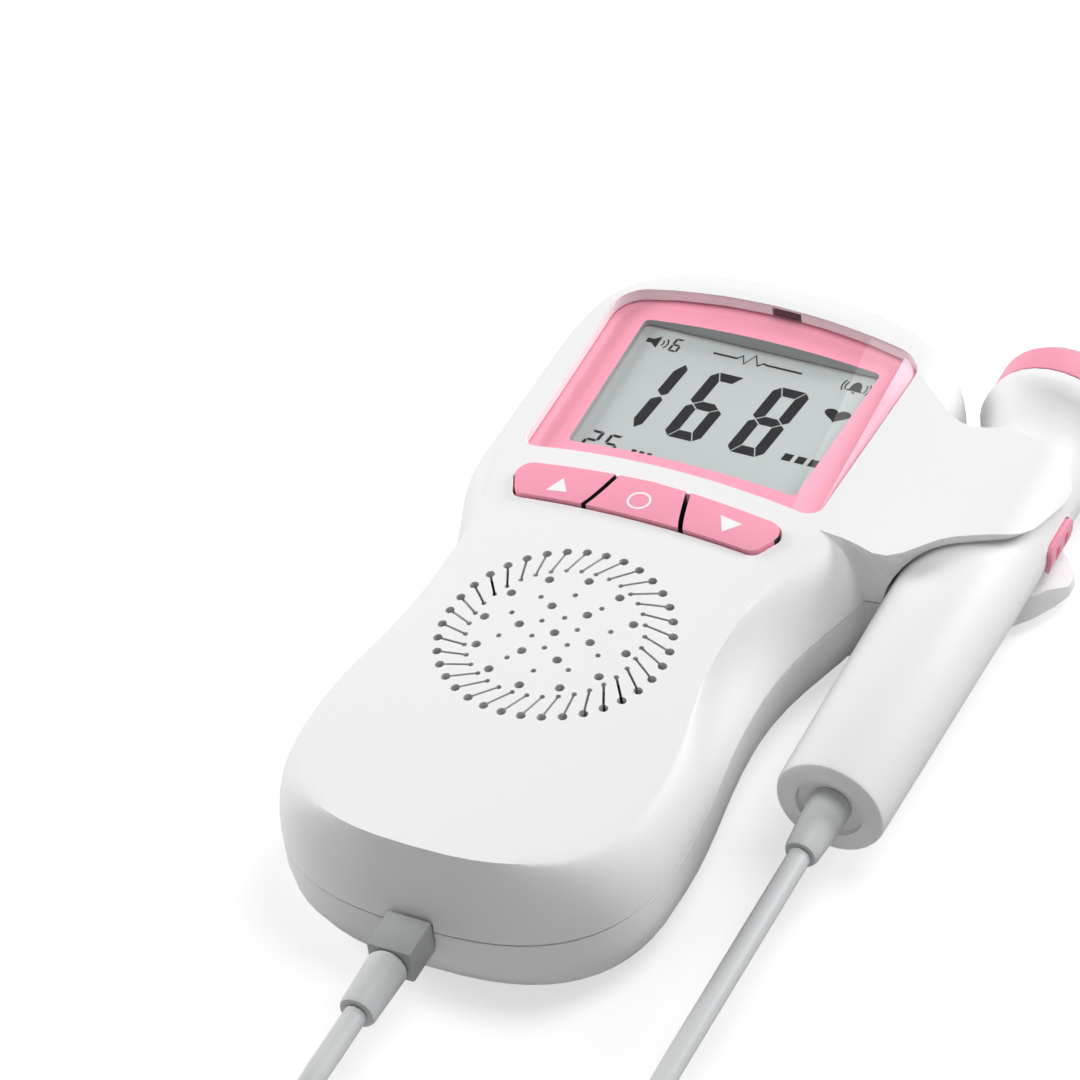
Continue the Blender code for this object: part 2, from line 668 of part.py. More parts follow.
ARM_HIGH_BORE_SHARES = (0.875, 0.862, 0.847, 0.831, 0.818, 0.809, 0.804, 0.801, 0.8,
                        0.792, 0.784, 0.775, 0.765, 0.75, 0.73, 0.7)
JAW_BORE_ANGLES = (188.0, 205.0, 226.0, 248.0, 270.0, 291.0, 360.0 + JAW_TIP_ANGLE)
JAW_OUTER_SHARES = (0.14, 0.29, 0.46, 0.64, 0.77, 0.89, 0.96, 1.0)
JAW_LOW_SHARES = (0.0, 0.015, 0.06, 0.135, 0.236, 0.308, 0.4, 0.48, 0.55)
JAW_LOW_BORE_SHARES = (0.01, 0.023, 0.073, 0.145, 0.236, 0.308, 0.4, 0.48, 0.55)
JAW_HIGH_SHARES = (1.0, 0.95, 0.887, 0.812, 0.774, 0.757, 0.735, 0.68, 0.61)
JAW_HIGH_BORE_SHARES = (0.875, 0.857, 0.832, 0.805, 0.774, 0.757, 0.735, 0.68, 0.61)

BORE_RADIUS = HANDLE_RADIUS + HOLDER_PLAY
ARM_OUTER_RADIUS = BORE_RADIUS + ARM_THICKNESS
ROWS = len(OUTLINE)


def wall_heights(levels):
    return [math.sin(math.radians(90.0) * k / levels) for k in range(levels + 1)]


def arm_top(x):
    """Height of the arm's upper surface: it leaves the crown smoothly and levels out over the probe."""
    if x <= ARM_BLEND_X:
        return crown(x)
    reach = PROBE_X - ARM_BLEND_X
    share = min(max((x - ARM_BLEND_X) / reach, 0.0), 1.0)
    start = crown(ARM_BLEND_X)
    slope = -ARM_BLEND_X / CROWN_RADIUS
    crest = PROBE_Z + ARM_OUTER_RADIUS
    blend = share * share * (3.0 - 2.0 * share)
    return start + (crest - start) * blend + slope * reach * share * (1.0 - share) ** 2


def around_probe(radius, degrees):
    angle = math.radians(degrees)
    return PROBE_X + radius * math.cos(angle), PROBE_Z + radius * math.sin(angle)


def row_share(row):
    """Place of one arm row between the arm's two edges."""
    low, high = OUTLINE[ARM_FIRST][1], OUTLINE[ARM_LAST][1]
    return (OUTLINE[row][1] - low) / (high - low)


def station_points(place, low_share, high_share):
    """One point in each arm row at a station's (x, z)."""
    span = ARM_END_Y - ARM_START_Y
    low = ARM_START_Y + span * low_share
    high = ARM_START_Y + span * high_share
    return [Vector((place[0], low + (high - low) * row_share(row), place[1]))
            for row in range(ARM_FIRST, ARM_LAST + 1)]


def face_edge(row):
    """Right edge point of the face in one row; inside the arm it lies on the arm's upper surface."""
    point = wall_point(row, 1.0, 1.0, 0.0)
    if ARM_FIRST < row < ARM_LAST:
        point.z = arm_top(point.x)
    return point


def arm_stations():
    """Points of the arm's upper surface and of its bore, station by station from root to tip."""
    edge_x = face_edge(ARM_FIRST).x
    upper = [[face_edge(row) for row in range(ARM_FIRST, ARM_LAST + 1)]]
    places = []
    for share in ARM_OUTER_SHARES:
        x = edge_x + (PROBE_X - edge_x) * share
        places.append((x, arm_top(x)))
    places += [around_probe(ARM_OUTER_RADIUS, angle) for angle in ARM_OVER_ANGLES]
    for k, place in enumerate(places, 1):
        upper.append(station_points(place, ARM_LOW_SHARES[k], ARM_HIGH_SHARES[k]))
    lower = []
    for k, angle in enumerate(ARM_BORE_ANGLES):
        place = around_probe(BORE_RADIUS, angle)
        if k == 0:
            place = (place[0], PARTING_Z)
        lower.append(station_points(place, ARM_LOW_BORE_SHARES[k], ARM_HIGH_BORE_SHARES[k]))
    return upper, lower


def close_wing(mesh, upper, lower, low_column, high_column):
    """End faces of a wing: along its two edges, at its tip, and against the body's side wall."""
    add_grid(mesh, [upper[-1], lower[-1]])
    for end, column in ((0, low_column), (-1, high_column)):
        for k in range(1, len(upper) - 1):
            add_face(mesh, (upper[k][end], upper[k + 1][end], lower[k + 1][end], lower[k][end]))
        middle = len(column) // 2
        for k in range(middle, len(column) - 1):
            add_face(mesh, (column[k], column[k + 1], upper[1][end]))
        add_face(mesh, (column[middle], upper[1][end], lower[1][end]))
        for k in range(middle):
            add_face(mesh, (column[k], column[k + 1], lower[1][end]))
        add_face(mesh, (column[0], lower[1][end], lower[0][end]))


def plate_rows(edge, height, columns):
    """Rows across the face between its mirrored edges."""
    rows = []
    for row in range(ROWS):
        point = edge(row)
        line = []
        for column in range(columns + 1):
            x = point.x * (2.0 * column / columns - 1.0)
            line.append(Vector((x, point.y, height(x))))
        line[-1] = point
        line[0] = Vector((-point.x, point.y, height(point.x)))
        rows.append(line)
    return rows


def front_shell_mesh():
    mesh = new_mesh()
    heights = wall_heights(WALL_LEVELS)
    every = range(ROWS)

    def column(row, side, offset):
        levels = wall_heights(INNER_LEVELS) if offset else heights
        return [wall_point(row, height, side, offset) for height in levels]

    def inner_edge(row):
        return wall_point(row, 1.0, 1.0, WALL)

    add_grid(mesh, [column(row, -1.0, 0.0) for row in every])
    add_grid(mesh, [column(row, 1.0, 0.0) for row in range(ARM_FIRST + 1)])
    add_grid(mesh, [column(row, 1.0, 0.0) for row in range(ARM_LAST, ROWS)])
    add_grid(mesh, plate_rows(face_edge, crown, FACE_COLUMNS))
    for side in (-1.0, 1.0):
        add_grid(mesh, [column(row, side, WALL) for row in every])
    add_grid(mesh, plate_rows(inner_edge, lambda x: crown(x) - WALL, INNER_COLUMNS))

    upper, lower = arm_stations()
    add_grid(mesh, upper)
    add_grid(mesh, lower)
    close_wing(mesh, upper, lower, column(ARM_FIRST, 1.0, 0.0), column(ARM_LAST, 1.0, 0.0))
    add_rim(mesh, PARTING_Z, lower[0], WALL)
    return close_up(mesh)


def add_rim(mesh, height, wing_root, wall):
    """Parting face between the outer and the inner skin, widened where a wing begins."""
    def at(row, side, inset):
        x, y = OUTLINE[row]
        normal = inward(OUTLINE, row)
        return Vector((side * max(x + normal[0] * inset, 0.0), y + normal[1] * inset, height))

    inner = [at(row, 1.0, wall) for row in range(ROWS)]
    add_grid(mesh, [[at(row, -1.0, 0.0) for row in range(ROWS)],
                    [at(row, -1.0, wall) for row in range(ROWS)]])
    add_grid(mesh, [[at(row, 1.0, 0.0) for row in range(ARM_FIRST + 1)], inner[:ARM_FIRST + 1]])
    add_grid(mesh, [[at(row, 1.0, 0.0) for row in range(ARM_LAST, ROWS)], inner[ARM_LAST:]])
    add_grid(mesh, [wing_root, inner[ARM_FIRST:ARM_LAST + 1]])
    add_face(mesh, (at(ARM_FIRST, 1.0, 0.0), wing_root[0], inner[ARM_FIRST]))
    add_face(mesh, (at(ARM_LAST, 1.0, 0.0), wing_root[-1], inner[ARM_LAST]))


def pan_point(row, level, side, offset, levels=0):
    """Point of the back shell: level 0 is the parting plane, level 1 where the fillet starts."""
    levels = levels or WALL_LEVELS
    x, y = OUTLINE[row]
    normal = inward(OUTLINE, row)
    radius = BOTTOM_FILLET - offset
    if level == 0:
        depth, height = offset, PARTING_Z - SHELL_GAP
    else:
        angle = math.radians(90.0) * (level - 1) / (levels - 1)
        depth = offset + radius * (1.0 - math.cos(angle))
        height = BOTTOM_FILLET - radius * math.sin(angle)
    return Vector((side * max(x + normal[0] * depth, 0.0), y + normal[1] * depth, height))


def jaw_stations():
    """Points of the jaw's underside and of its bore, from the body out to the tongue."""
    rows = range(ARM_FIRST, ARM_LAST + 1)
    under = [[pan_point(row, WALL_LEVELS, 1.0, 0.0) for row in rows]]
    root_x = under[0][0].x
    for k, share in enumerate(JAW_OUTER_SHARES, 1):
        x = root_x + (JAW_TONGUE_X - root_x) * share
        rise = JAW_ROOT_BOTTOM_Z + (JAW_TONGUE_BOTTOM_Z - JAW_ROOT_BOTTOM_Z) * share ** 3
        z = rise * min(1.0, 4.0 * share)
        under.append(station_points((x, z), JAW_LOW_SHARES[k], JAW_HIGH_SHARES[k]))
    bore = []
    for k, angle in enumerate(JAW_BORE_ANGLES):
        place = around_probe(BORE_RADIUS, angle)
        if k == 0:
            place = (place[0], PARTING_Z - SHELL_GAP)
        bore.append(station_points(place, JAW_LOW_BORE_SHARES[k], JAW_HIGH_BORE_SHARES[k]))
    middle_x = 0.5 * (around_probe(BORE_RADIUS, JAW_TIP_ANGLE)[0] + JAW_TONGUE_X)
    tongue = ((middle_x, JAW_TONGUE_TOP_Z), (JAW_TONGUE_X, JAW_TONGUE_TOP_Z - JAW_TONGUE_DROP))
    for k, place in enumerate(tongue, len(bore)):
        bore.append(station_points(place, JAW_LOW_BORE_SHARES[k], JAW_HIGH_BORE_SHARES[k]))
    return under, bore


def back_shell_mesh():
    mesh = new_mesh()
    every = range(ROWS)

    def column(row, side, offset):
        levels = INNER_LEVELS + 1 if offset else WALL_LEVELS
        return [pan_point(row, level, side, offset, levels) for level in range(levels + 1)]

    add_grid(mesh, [column(row, -1.0, 0.0) for row in every])
    add_grid(mesh, [column(row, 1.0, 0.0) for row in range(ARM_FIRST + 1)])
    add_grid(mesh, [column(row, 1.0, 0.0) for row in range(ARM_LAST, ROWS)])
    for offset in (0.0, WALL):
        rows = []
        for row in every:
            point = pan_point(row, WALL_LEVELS, 1.0, offset)
            rows.append([Vector((-point.x, point.y, point.z)), Vector((0.0, point.y, point.z)), point])
        add_grid(mesh, rows)
    for side in (-1.0, 1.0):
        add_grid(mesh, [column(row, side, WALL) for row in every])
    under, bore = jaw_stations()
    add_grid(mesh, under)
    add_grid(mesh, bore)
    close_wing(mesh, under, bore, column(ARM_FIRST, 1.0, 0.0), column(ARM_LAST, 1.0, 0.0))
    add_rim(mesh, PARTING_Z - SHELL_GAP, bore[0], WALL)
    return close_up(mesh)


def crowned_post(x, y, radius, hole, drop, low, steps=16):
    """Post or tube that ends inside the crowned wall, drop below the face, and stands down to low."""
    mesh = new_mesh()
    rings = []
    for size in (radius, hole) if hole else (radius,):
        plan = circle(x, y, size, steps)
        rings.append([mesh.verts.new((px, py, low)) for px, py in plan])
        rings.append([mesh.verts.new((px, py, crown(px) - drop)) for px, py in plan])
    for i in range(steps):
        j = (i + 1) % steps
        mesh.faces.new((rings[0][i], rings[0][j], rings[1][j], rings[1][i]))
        if hole:
            mesh.faces.new((rings[2][j], rings[2][i], rings[3][i], rings[3][j]))
            mesh.faces.new((rings[1][i], rings[1][j], rings[3][j], rings[3][i]))
            mesh.faces.new((rings[0][j], rings[0][i], rings[2][i], rings[2][j]))
    if not hole:
        mesh.faces.new(rings[0])
        mesh.faces.new(rings[1])
    return close_up(mesh)


def post(x, y, radius, low, high, steps=16):
    return prism(circle(x, y, radius, steps), low, high)


def window_outline(grow=0.0):
    return bowed_window(WINDOW_BOTTOM_Y, WINDOW_TOP_Y, WINDOW_BOTTOM_HALF, WINDOW_TOP_HALF,
                        (WINDOW_BOTTOM_BOW, WINDOW_TOP_BOW), (WINDOW_BOTTOM_CORNER, WINDOW_TOP_CORNER), grow)


def screen_outline(grow=0.0):
    low, high = SCREEN_BOTTOM_Y - grow, SCREEN_TOP_Y + grow
    wide_low, wide_high = SCREEN_BOTTOM_HALF + grow, SCREEN_TOP_HALF + grow
    corners = [(-wide_low, low), (wide_low, low), (wide_high, high), (-wide_high, high)]
    return rounded(corners, [SCREEN_CORNER] * 4, 2)


def key_band_corners(grow=0.0):
    """Corners of the right half of the key opening, bottom to top."""
    top = KEY_TOP_Y - KEY_TOP_BOW + grow
    return [(KEY_BAND_BOTTOM_HALF + grow, KEY_BOTTOM_Y - grow),
            (KEY_BAND_WIDE_HALF + grow, KEY_BAND_WIDE_Y),
            (KEY_BAND_TOP_HALF + grow, top)]


def key_band_outline(grow=0.0):
    right = key_band_corners(grow)
    left = [(-x, y) for x, y in reversed(right)]
    middle = [(0.0, KEY_TOP_Y + grow)]
    return rounded(right + middle + left, [KEY_CORNER] * 3 + [0.0] + [KEY_CORNER] * 3)


def split_x(y):
    """Place of the curved split between two keys at a height y of the band."""
    share = (y - KEY_BOTTOM_Y) / (KEY_TOP_Y - KEY_BOTTOM_Y)
    return KEY_SPLIT_BOTTOM + (KEY_SPLIT_TOP - KEY_SPLIT_BOTTOM) * share ** KEY_SPLIT_POWER


def split_edge(offset, low, high, steps=5):
    """Points along a split, moved sideways by an offset, from low to high."""
    edge = []
    for k in range(steps + 1):
        y = low + (high - low) * k / steps
        held = min(max(y, KEY_BOTTOM_Y), KEY_TOP_Y)
        edge.append((split_x(held) + offset, y))
    return edge


def side_key_outline(side, grow):
    """Outer key: the curved split on one side, the band's rounded end on the other."""
    end = key_band_corners(grow)
    low = KEY_BOTTOM_Y - grow
    high = KEY_TOP_Y - KEY_TOP_BOW * KEY_SPLIT_TOP / KEY_BAND_TOP_HALF + grow
    edge = split_edge(0.5 * KEY_SPLIT_GAP, low, high)
    corners = [edge[0]] + end + list(reversed(edge[1:]))
    radii = [0.0] + [KEY_CORNER] * 3 + [0.0] * (len(edge) - 1)
    outline = rounded(corners, radii)
    if side < 0:
        outline = [(-x, y) for x, y in reversed(outline)]
    return outline


def middle_key_outline(grow):
    low = KEY_BOTTOM_Y - grow
    high = KEY_TOP_Y - KEY_TOP_BOW * KEY_SPLIT_TOP / KEY_BAND_TOP_HALF + grow
    edge = split_edge(-0.5 * KEY_SPLIT_GAP, low, high)
    left = [(-x, y) for x, y in reversed(edge)]
    return edge + [(0.0, KEY_TOP_Y + grow)] + left


def tick_hole(angle):
    """Key-shaped hole of the grille's rim: a dot, a thin slanted tick and a smaller dot inside."""
    big = Vector((GRILLE_RADIUS * math.cos(angle), GRILLE_RADIUS * math.sin(angle)))
    turned_angle = angle + math.radians(GRILLE_TICK_TURN)
    small = GRILLE_TICK_RADIUS * Vector((math.cos(turned_angle), math.sin(turned_angle)))
    along = (small - big).normalized()
    ends = ((big, GRILLE_BIG_HOLE, -along, BIG_HOLE_STEPS - 4),
            (small, GRILLE_SMALL_HOLE, along, SMALL_HOLE_STEPS - 3))
    outline = []
    for centre, radius, axis, count in ends:
        side = Vector((-axis.y, axis.x))
        reach = math.pi - math.asin(GRILLE_TICK_HALF / radius)
        for k in range(count + 1):
            turn = -reach + 2.0 * reach * k / count
            arm = axis * math.cos(turn) + side * math.sin(turn)
            outline.append(tuple(centre + radius * arm))
    return outline


# Inner holes of the grille: radius as a share of the rim's, count, first angle, and whether they are big
GRILLE_RING_SHARES = ((0.665, 12, 0.0, True), (0.333, 6, 0.0, True), (0.473, 10, 22.4, False),
                      (0.192, 6, 30.0, False))


def grille_mesh():
    """All cutters of the grille as separate prisms through the face."""
    low, high = BODY_HEIGHT - WALL - CUT_OVERRUN, BODY_HEIGHT + CUT_OVERRUN
    plans = [tick_hole(2.0 * math.pi * k / GRILLE_OUTER_COUNT) for k in range(GRILLE_OUTER_COUNT)]
    plans.append(circle(0.0, 0.0, GRILLE_BIG_HOLE, BIG_HOLE_STEPS))
    for share, count, first, big in GRILLE_RING_SHARES:
        size = GRILLE_BIG_HOLE if big else GRILLE_SMALL_HOLE
        steps = BIG_HOLE_STEPS if big else SMALL_HOLE_STEPS
        for k in range(count):
            angle = math.radians(first) + 2.0 * math.pi * k / count
            radius = share * GRILLE_RADIUS
            plans.append(circle(radius * math.cos(angle), radius * math.sin(angle), size, steps))
    mesh = new_mesh()
    for plan in plans:
        lower = [mesh.verts.new((x, y, low)) for x, y in plan]
        upper = [mesh.verts.new((x, y, high)) for x, y in plan]
        mesh.faces.new(list(reversed(lower)))
        mesh.faces.new(upper)
        for i in range(len(plan)):
            j = (i + 1) % len(plan)
            mesh.faces.new((lower[i], lower[j], upper[j], upper[i]))
    bmesh.ops.recalc_face_normals(mesh, faces=mesh.faces)
    return mesh


FACE_INSIDE = BODY_HEIGHT - WALL
BOARD_TOP = BODY_HEIGHT - BOARD_DROP
BOARD_BOTTOM = BOARD_TOP - BOARD_THICKNESS
BOARD_POSTS = [(side * POST_X, y) for side in (-1, 1) for y in (POST_LOW_Y, POST_HIGH_Y)]
CASE_POSTS = [(side * SCREW_SIDE_X, y) for side in (-1, 1) for y in (SCREW_HEEL_Y, SCREW_WAIST_Y)]
SOCKET_START = HEEL_END_Y + WALL + 0.5 * WALL
BAY_END_Y = BAY_START_Y + BAY_LENGTH
DOOR_START_Y = BAY_START_Y - DOOR_LEDGE
DOOR_END_Y = BAY_END_Y + DOOR_LEDGE
DOOR_HALF = BAY_HALF_WIDTH + DOOR_LEDGE
DOOR_TOP_Z = DOOR_RECESS + DOOR_THICKNESS
RECESS_TOP_Z = DOOR_TOP_Z + FIT


def make_front_shell(body, material):
    shell = piece("front_shell", front_shell_mesh(), material, body)
    rib_radius = SPEAKER_RADIUS + FIT
    rib_low = BODY_HEIGHT - SPEAKER_RIB_DEPTH
    shape_with(shell, crowned_post(0.0, 0.0, rib_radius + SPEAKER_RIB, rib_radius, 0.5 * WALL, rib_low, 28),
               "UNION")
    for x, y in BOARD_POSTS:
        low = BOARD_TOP + FIT
        shape_with(shell, post(x, y, POST_RADIUS, low, low + POST_HEIGHT), "UNION")
    for x, y in CASE_POSTS:
        shape_with(shell, crowned_post(x, y, FRONT_POST_RADIUS, 0.0, 0.5 * WALL, PARTING_Z), "UNION")
    for x, y in BOARD_POSTS:
        depth = BOARD_BOTTOM - FIT + SMALL_SCREW_LENGTH + FIT
        shape_with(shell, post(x, y, SMALL_SCREW_SHANK + FIT, BOARD_BOTTOM, depth, 12))
    for x, y in CASE_POSTS:
        depth = CASE_SEAT_Z - FIT + CASE_SHANK_LENGTH + FIT
        shape_with(shell, post(x, y, CASE_SHANK_RADIUS + FIT, PARTING_Z - CUT_OVERRUN, depth, 12))
    shape_with(shell, grille_mesh())
    shape_with(shell, socket_mouth())
    low, high = FACE_INSIDE - 2.0 * CUT_OVERRUN, BODY_HEIGHT + CUT_OVERRUN
    seat_top = -WALL - 0.5 * FIT
    seat = crowned_prism(window_outline(FRAME_LIP + FIT), seat_top - CUT_OVERRUN, seat_top)
    shape_with(shell, seat)
    shape_with(shell, prism(window_outline(), low, high))
    shape_with(shell, prism(key_band_outline(), low, high))
    shape_with(shell, slot_box(FIT, CUT_OVERRUN))
    return shell


def slot_box(grow, overrun):
    """Box of the small dark insert in the window's upper wall, grown for its pocket."""
    top = BODY_HEIGHT - SLOT_ROOF - FIT + grow
    low = FACE_INSIDE - overrun
    start = WINDOW_TOP_Y - overrun
    end = WINDOW_TOP_Y + SLOT_DEPTH + grow
    return box((SLOT_X, 0.5 * (start + end), 0.5 * (low + top)),
               (SLOT_WIDTH + 2.0 * grow, end - start, top - low))


def socket_mouth():
    """Cutter of the lead's opening through the heel wall, across the parting line."""
    start, end = HEEL_END_Y - CUT_OVERRUN, SOCKET_START
    return box((0.0, 0.5 * (start + end), PLUG_Z),
               (TONGUE_WIDTH + 4.0 * FIT, end - start, TONGUE_HEIGHT + 4.0 * FIT))


def make_back_shell(body, material):
    shell = piece("back_shell", back_shell_mesh(), material, body)
    top = PARTING_Z - SHELL_GAP
    middle_y = 0.5 * (BAY_START_Y + BAY_END_Y)
    pad = (2.0 * (DOOR_HALF + DOOR_PAD), DOOR_END_Y - DOOR_START_Y + 2.0 * DOOR_PAD,
           DOOR_PAD + RECESS_TOP_Z - 0.5 * WALL)
    shape_with(shell, box((0.0, middle_y, 0.5 * WALL + 0.5 * pad[2]), pad), "UNION")
    walls = (2.0 * (BAY_HALF_WIDTH + BAY_WALL), BAY_LENGTH + 2.0 * BAY_WALL, BAY_TOP_Z - 0.5 * WALL)
    shape_with(shell, box((0.0, middle_y, 0.5 * (BAY_TOP_Z + 0.5 * WALL)), walls), "UNION")
    for x, y in CASE_POSTS:
        shape_with(shell, post(x, y, CASE_POST_RADIUS, 0.5 * WALL, top), "UNION")
    bay = (2.0 * BAY_HALF_WIDTH, BAY_LENGTH, BAY_TOP_Z + 2.0 * CUT_OVERRUN)
    shape_with(shell, box((0.0, middle_y, 0.5 * BAY_TOP_Z), bay))
    far_y = DOOR_END_Y + DOOR_END_GAP - FIT
    corners = [(-DOOR_HALF, DOOR_START_Y), (DOOR_HALF, DOOR_START_Y), (DOOR_HALF, far_y), (-DOOR_HALF, far_y)]
    recess = rounded(corners, [DOOR_CORNER, DOOR_CORNER, 0.0, 0.0])
    shape_with(shell, prism(recess, -CUT_OVERRUN, RECESS_TOP_Z))
    for x, y in CASE_POSTS:
        shape_with(shell, post(x, y, CASE_RECESS_RADIUS, -CUT_OVERRUN, CASE_SEAT_Z))
        hole = post(x, y, CASE_SHANK_RADIUS + FIT, CASE_SEAT_Z - CUT_OVERRUN, top + CUT_OVERRUN, 12)
        shape_with(shell, hole)
    shape_with(shell, socket_mouth())
    return shell


def make_window(body):
    lens = window_outline(-FIT)
    piece("display_lens", crowned_prism(lens, -LENS_DROP - LENS_THICKNESS, -LENS_DROP),
          finish("display_lens", "EEF3F4", 0.05, 0.0, 0.25), body)
    top = -WALL - 1.5 * FIT
    frame = piece("display_frame", crowned_prism(window_outline(FRAME_LIP), top - FRAME_THICKNESS, top),
                  finish("display_frame", "F7A0BA", 0.4), body)
    skirt_low = FIT - LCD_DROP
    skirt_top = top - 0.5 * FRAME_THICKNESS
    shape_with(frame, crowned_prism(screen_outline(SKIRT_WIDTH), skirt_low, skirt_top, True), "UNION")
    low = BODY_HEIGHT - LCD_DROP - CUT_OVERRUN
    shape_with(frame, prism(screen_outline(), low, BODY_HEIGHT + CUT_OVERRUN))
    lcd_top = BODY_HEIGHT - LCD_DROP
    piece("lcd_glass", prism(screen_outline(LCD_MARGIN), lcd_top - LCD_THICKNESS, lcd_top),
          finish("lcd_glass", "BCC3C3", 0.15), body)
    tray_top = lcd_top - LCD_THICKNESS - FIT
    piece("lcd_light_tray", prism(screen_outline(LCD_MARGIN), tray_top - TRAY_THICKNESS, tray_top),
          finish("lcd_light_tray", "F2F2EE", 0.5), body)
    insert = slot_box(0.0, 0.0)
    piece("window_slot_insert", insert, finish("window_slot_insert", "1B1B1D", 0.4), body)


def make_key(body, name, outlines, centre_x, material):
    """One key: crowned cap, flange behind the wall and a stem down to its dome."""
    centre = Vector((centre_x, 0.5 * (KEY_TOP_Y + KEY_BOTTOM_Y), BODY_HEIGHT))
    flange_top = -WALL - FIT
    flange_low = flange_top - KEY_FLANGE_THICKNESS
    cap = crowned_prism(outlines[0], 0.5 * (flange_top + flange_low), KEY_PROUD)
    key = piece(name, cap, material, body, centre)
    shape_with(key, crowned_prism(outlines[1], flange_low, flange_top), "UNION", centre)
    stem_low = BOARD_TOP + FIT + DOME_HEIGHT + FIT
    stem_top = crown(centre.x) + 0.5 * (flange_top + flange_low)
    shape_with(key, post(centre.x, centre.y, KEY_STEM_RADIUS, stem_low, stem_top, 12), "UNION", centre)
    return key


def make_keys(body):
    material = finish("key", "F7A0BA", 0.4)
    cap, flange = -KEY_PLAY, KEY_FLANGE
    middle = (middle_key_outline(cap), middle_key_outline(flange))
    make_key(body, "ok_key", middle, 0.0, material)
    for name, side in (("up_key", -1), ("down_key", 1)):
        outlines = (side_key_outline(side, cap), side_key_outline(side, flange))
        make_key(body, name, outlines, side * KEY_SIDE_X, material)
    dome = finish("key_dome", "6A6D70", 0.8)
    base = BOARD_TOP + FIT
    for name, x in (("up_dome", -KEY_SIDE_X), ("ok_dome", 0.0), ("down_dome", KEY_SIDE_X)):
        profile = [(DOME_RADIUS, base), (DOME_RADIUS, base + 0.25 * DOME_HEIGHT),
                   (0.55 * DOME_RADIUS, base + DOME_HEIGHT)]
        place = (x, 0.5 * (KEY_TOP_Y + KEY_BOTTOM_Y), 0.0)
        piece(name, turned(profile, place, "Z", 16), dome, body, (place[0], place[1], base))


def make_speaker(body):
    top = BODY_HEIGHT - SPEAKER_DROP
    bottom = top - SPEAKER_DEPTH
    seat = SPEAKER_RADIUS - SPEAKER_RIM
    throat = MAGNET_RADIUS
    basket = [(seat, top), (SPEAKER_RADIUS, top), (SPEAKER_RADIUS, top - SPEAKER_FLANGE),
              (seat + BASKET_WALL, top - SPEAKER_FLANGE), (throat + BASKET_WALL, bottom),
              (0.5 * throat, bottom), (0.5 * throat, bottom + BASKET_WALL), (throat, bottom + BASKET_WALL),
              (seat, top - SPEAKER_FLANGE), (seat, top)]
    steel = finish("speaker_frame", "8E9194", 0.35, 0.9)
    piece("speaker_frame", turned(basket, (0.0, 0.0, 0.0), "Z", 28), steel, body)
    rim = seat - FIT
    cone_low = bottom + BASKET_WALL + 2.0 * FIT
    cone = [(0.0, cone_low + BASKET_WALL), (0.4 * throat, cone_low + 1.6 * BASKET_WALL),
            (0.5 * throat, cone_low + BASKET_WALL), (rim - SPEAKER_RIM, top - 0.8 * SPEAKER_FLANGE),
            (rim - 0.5 * SPEAKER_RIM, top - 0.5 * SPEAKER_FLANGE), (rim, top - 0.8 * SPEAKER_FLANGE),
            (rim, top - SPEAKER_FLANGE), (rim - 0.5 * SPEAKER_RIM, top - 0.9 * SPEAKER_FLANGE),
            (0.5 * throat, cone_low), (0.0, cone_low)]
    piece("speaker_cone", turned(cone, (0.0, 0.0, 0.0), "Z", 24),
          finish("speaker_cone", "3A3B3D", 0.8), body)
    magnet_top = bottom - FIT
    magnet = [(throat, magnet_top - MAGNET_DEPTH), (throat, magnet_top)]
    piece("speaker_magnet", turned(magnet, (0.0, 0.0, 0.0), "Z", 24),
          finish("speaker_magnet", "55585B", 0.4, 0.8), body)
    reach = SPEAKER_RADIUS - SPEAKER_FLANGE
    cloth = [(reach, top + FIT), (reach, top + FIT + CLOTH_THICKNESS)]
    piece("speaker_cloth", turned(cloth, (0.0, 0.0, 0.0), "Z", 28),
          finish("speaker_cloth", "57595C", 0.95), body)


def board_outline():
    waist_end = BOARD_START_Y + 2.0 * BOARD_CORNER
    slope_end = POST_LOW_Y
    top_start = POST_HIGH_Y
    half = [(BOARD_WAIST_HALF, BOARD_START_Y), (BOARD_WAIST_HALF + 0.5 * BOARD_CORNER, waist_end),
            (BOARD_HALF_WIDTH, slope_end), (BOARD_HALF_WIDTH, top_start),
            (BOARD_HALF_WIDTH - 1.8 * BOARD_CORNER, BOARD_END_Y)]
    corners = half + [(-x, y) for x, y in reversed(half)]
    radii = [0.25 * BOARD_CORNER, 0.0, BOARD_CORNER, BOARD_CORNER, 0.8 * BOARD_CORNER]
    return rounded(corners, radii + list(reversed(radii)))


def make_screws(body, name, places, head_low, sizes, material):
    """Pan-head screws that point up; sizes are head height, head radius, shank radius and length."""
    head_height, head_radius, shank_radius, length = sizes
    head_top = head_low + head_height
    profile = [(0.7 * head_radius, head_low), (head_radius, head_low + 0.4 * head_height),
               (head_radius, head_top), (shank_radius, head_top), (shank_radius, head_top + 0.92 * length),
               (0.4 * shank_radius, head_top + length)]
    for number, (x, y) in enumerate(places, 1):
        place = (x, y, 0.0)
        piece(name + "_" + str(number), turned(profile, place, "Z", 12), material, body, (x, y, head_top))


# Parts on the board: middle x and y as shares of the board's half width and length, then size shares
CHIP_SHARES = ((-0.35, 0.72, 0.3, 0.16), (0.42, 0.62, 0.22, 0.12), (0.05, 0.5, 0.16, 0.09),
               (-0.55, 0.42, 0.1, 0.1), (0.6, 0.86, 0.14, 0.08))
CHIP_HEIGHT = 0.0014


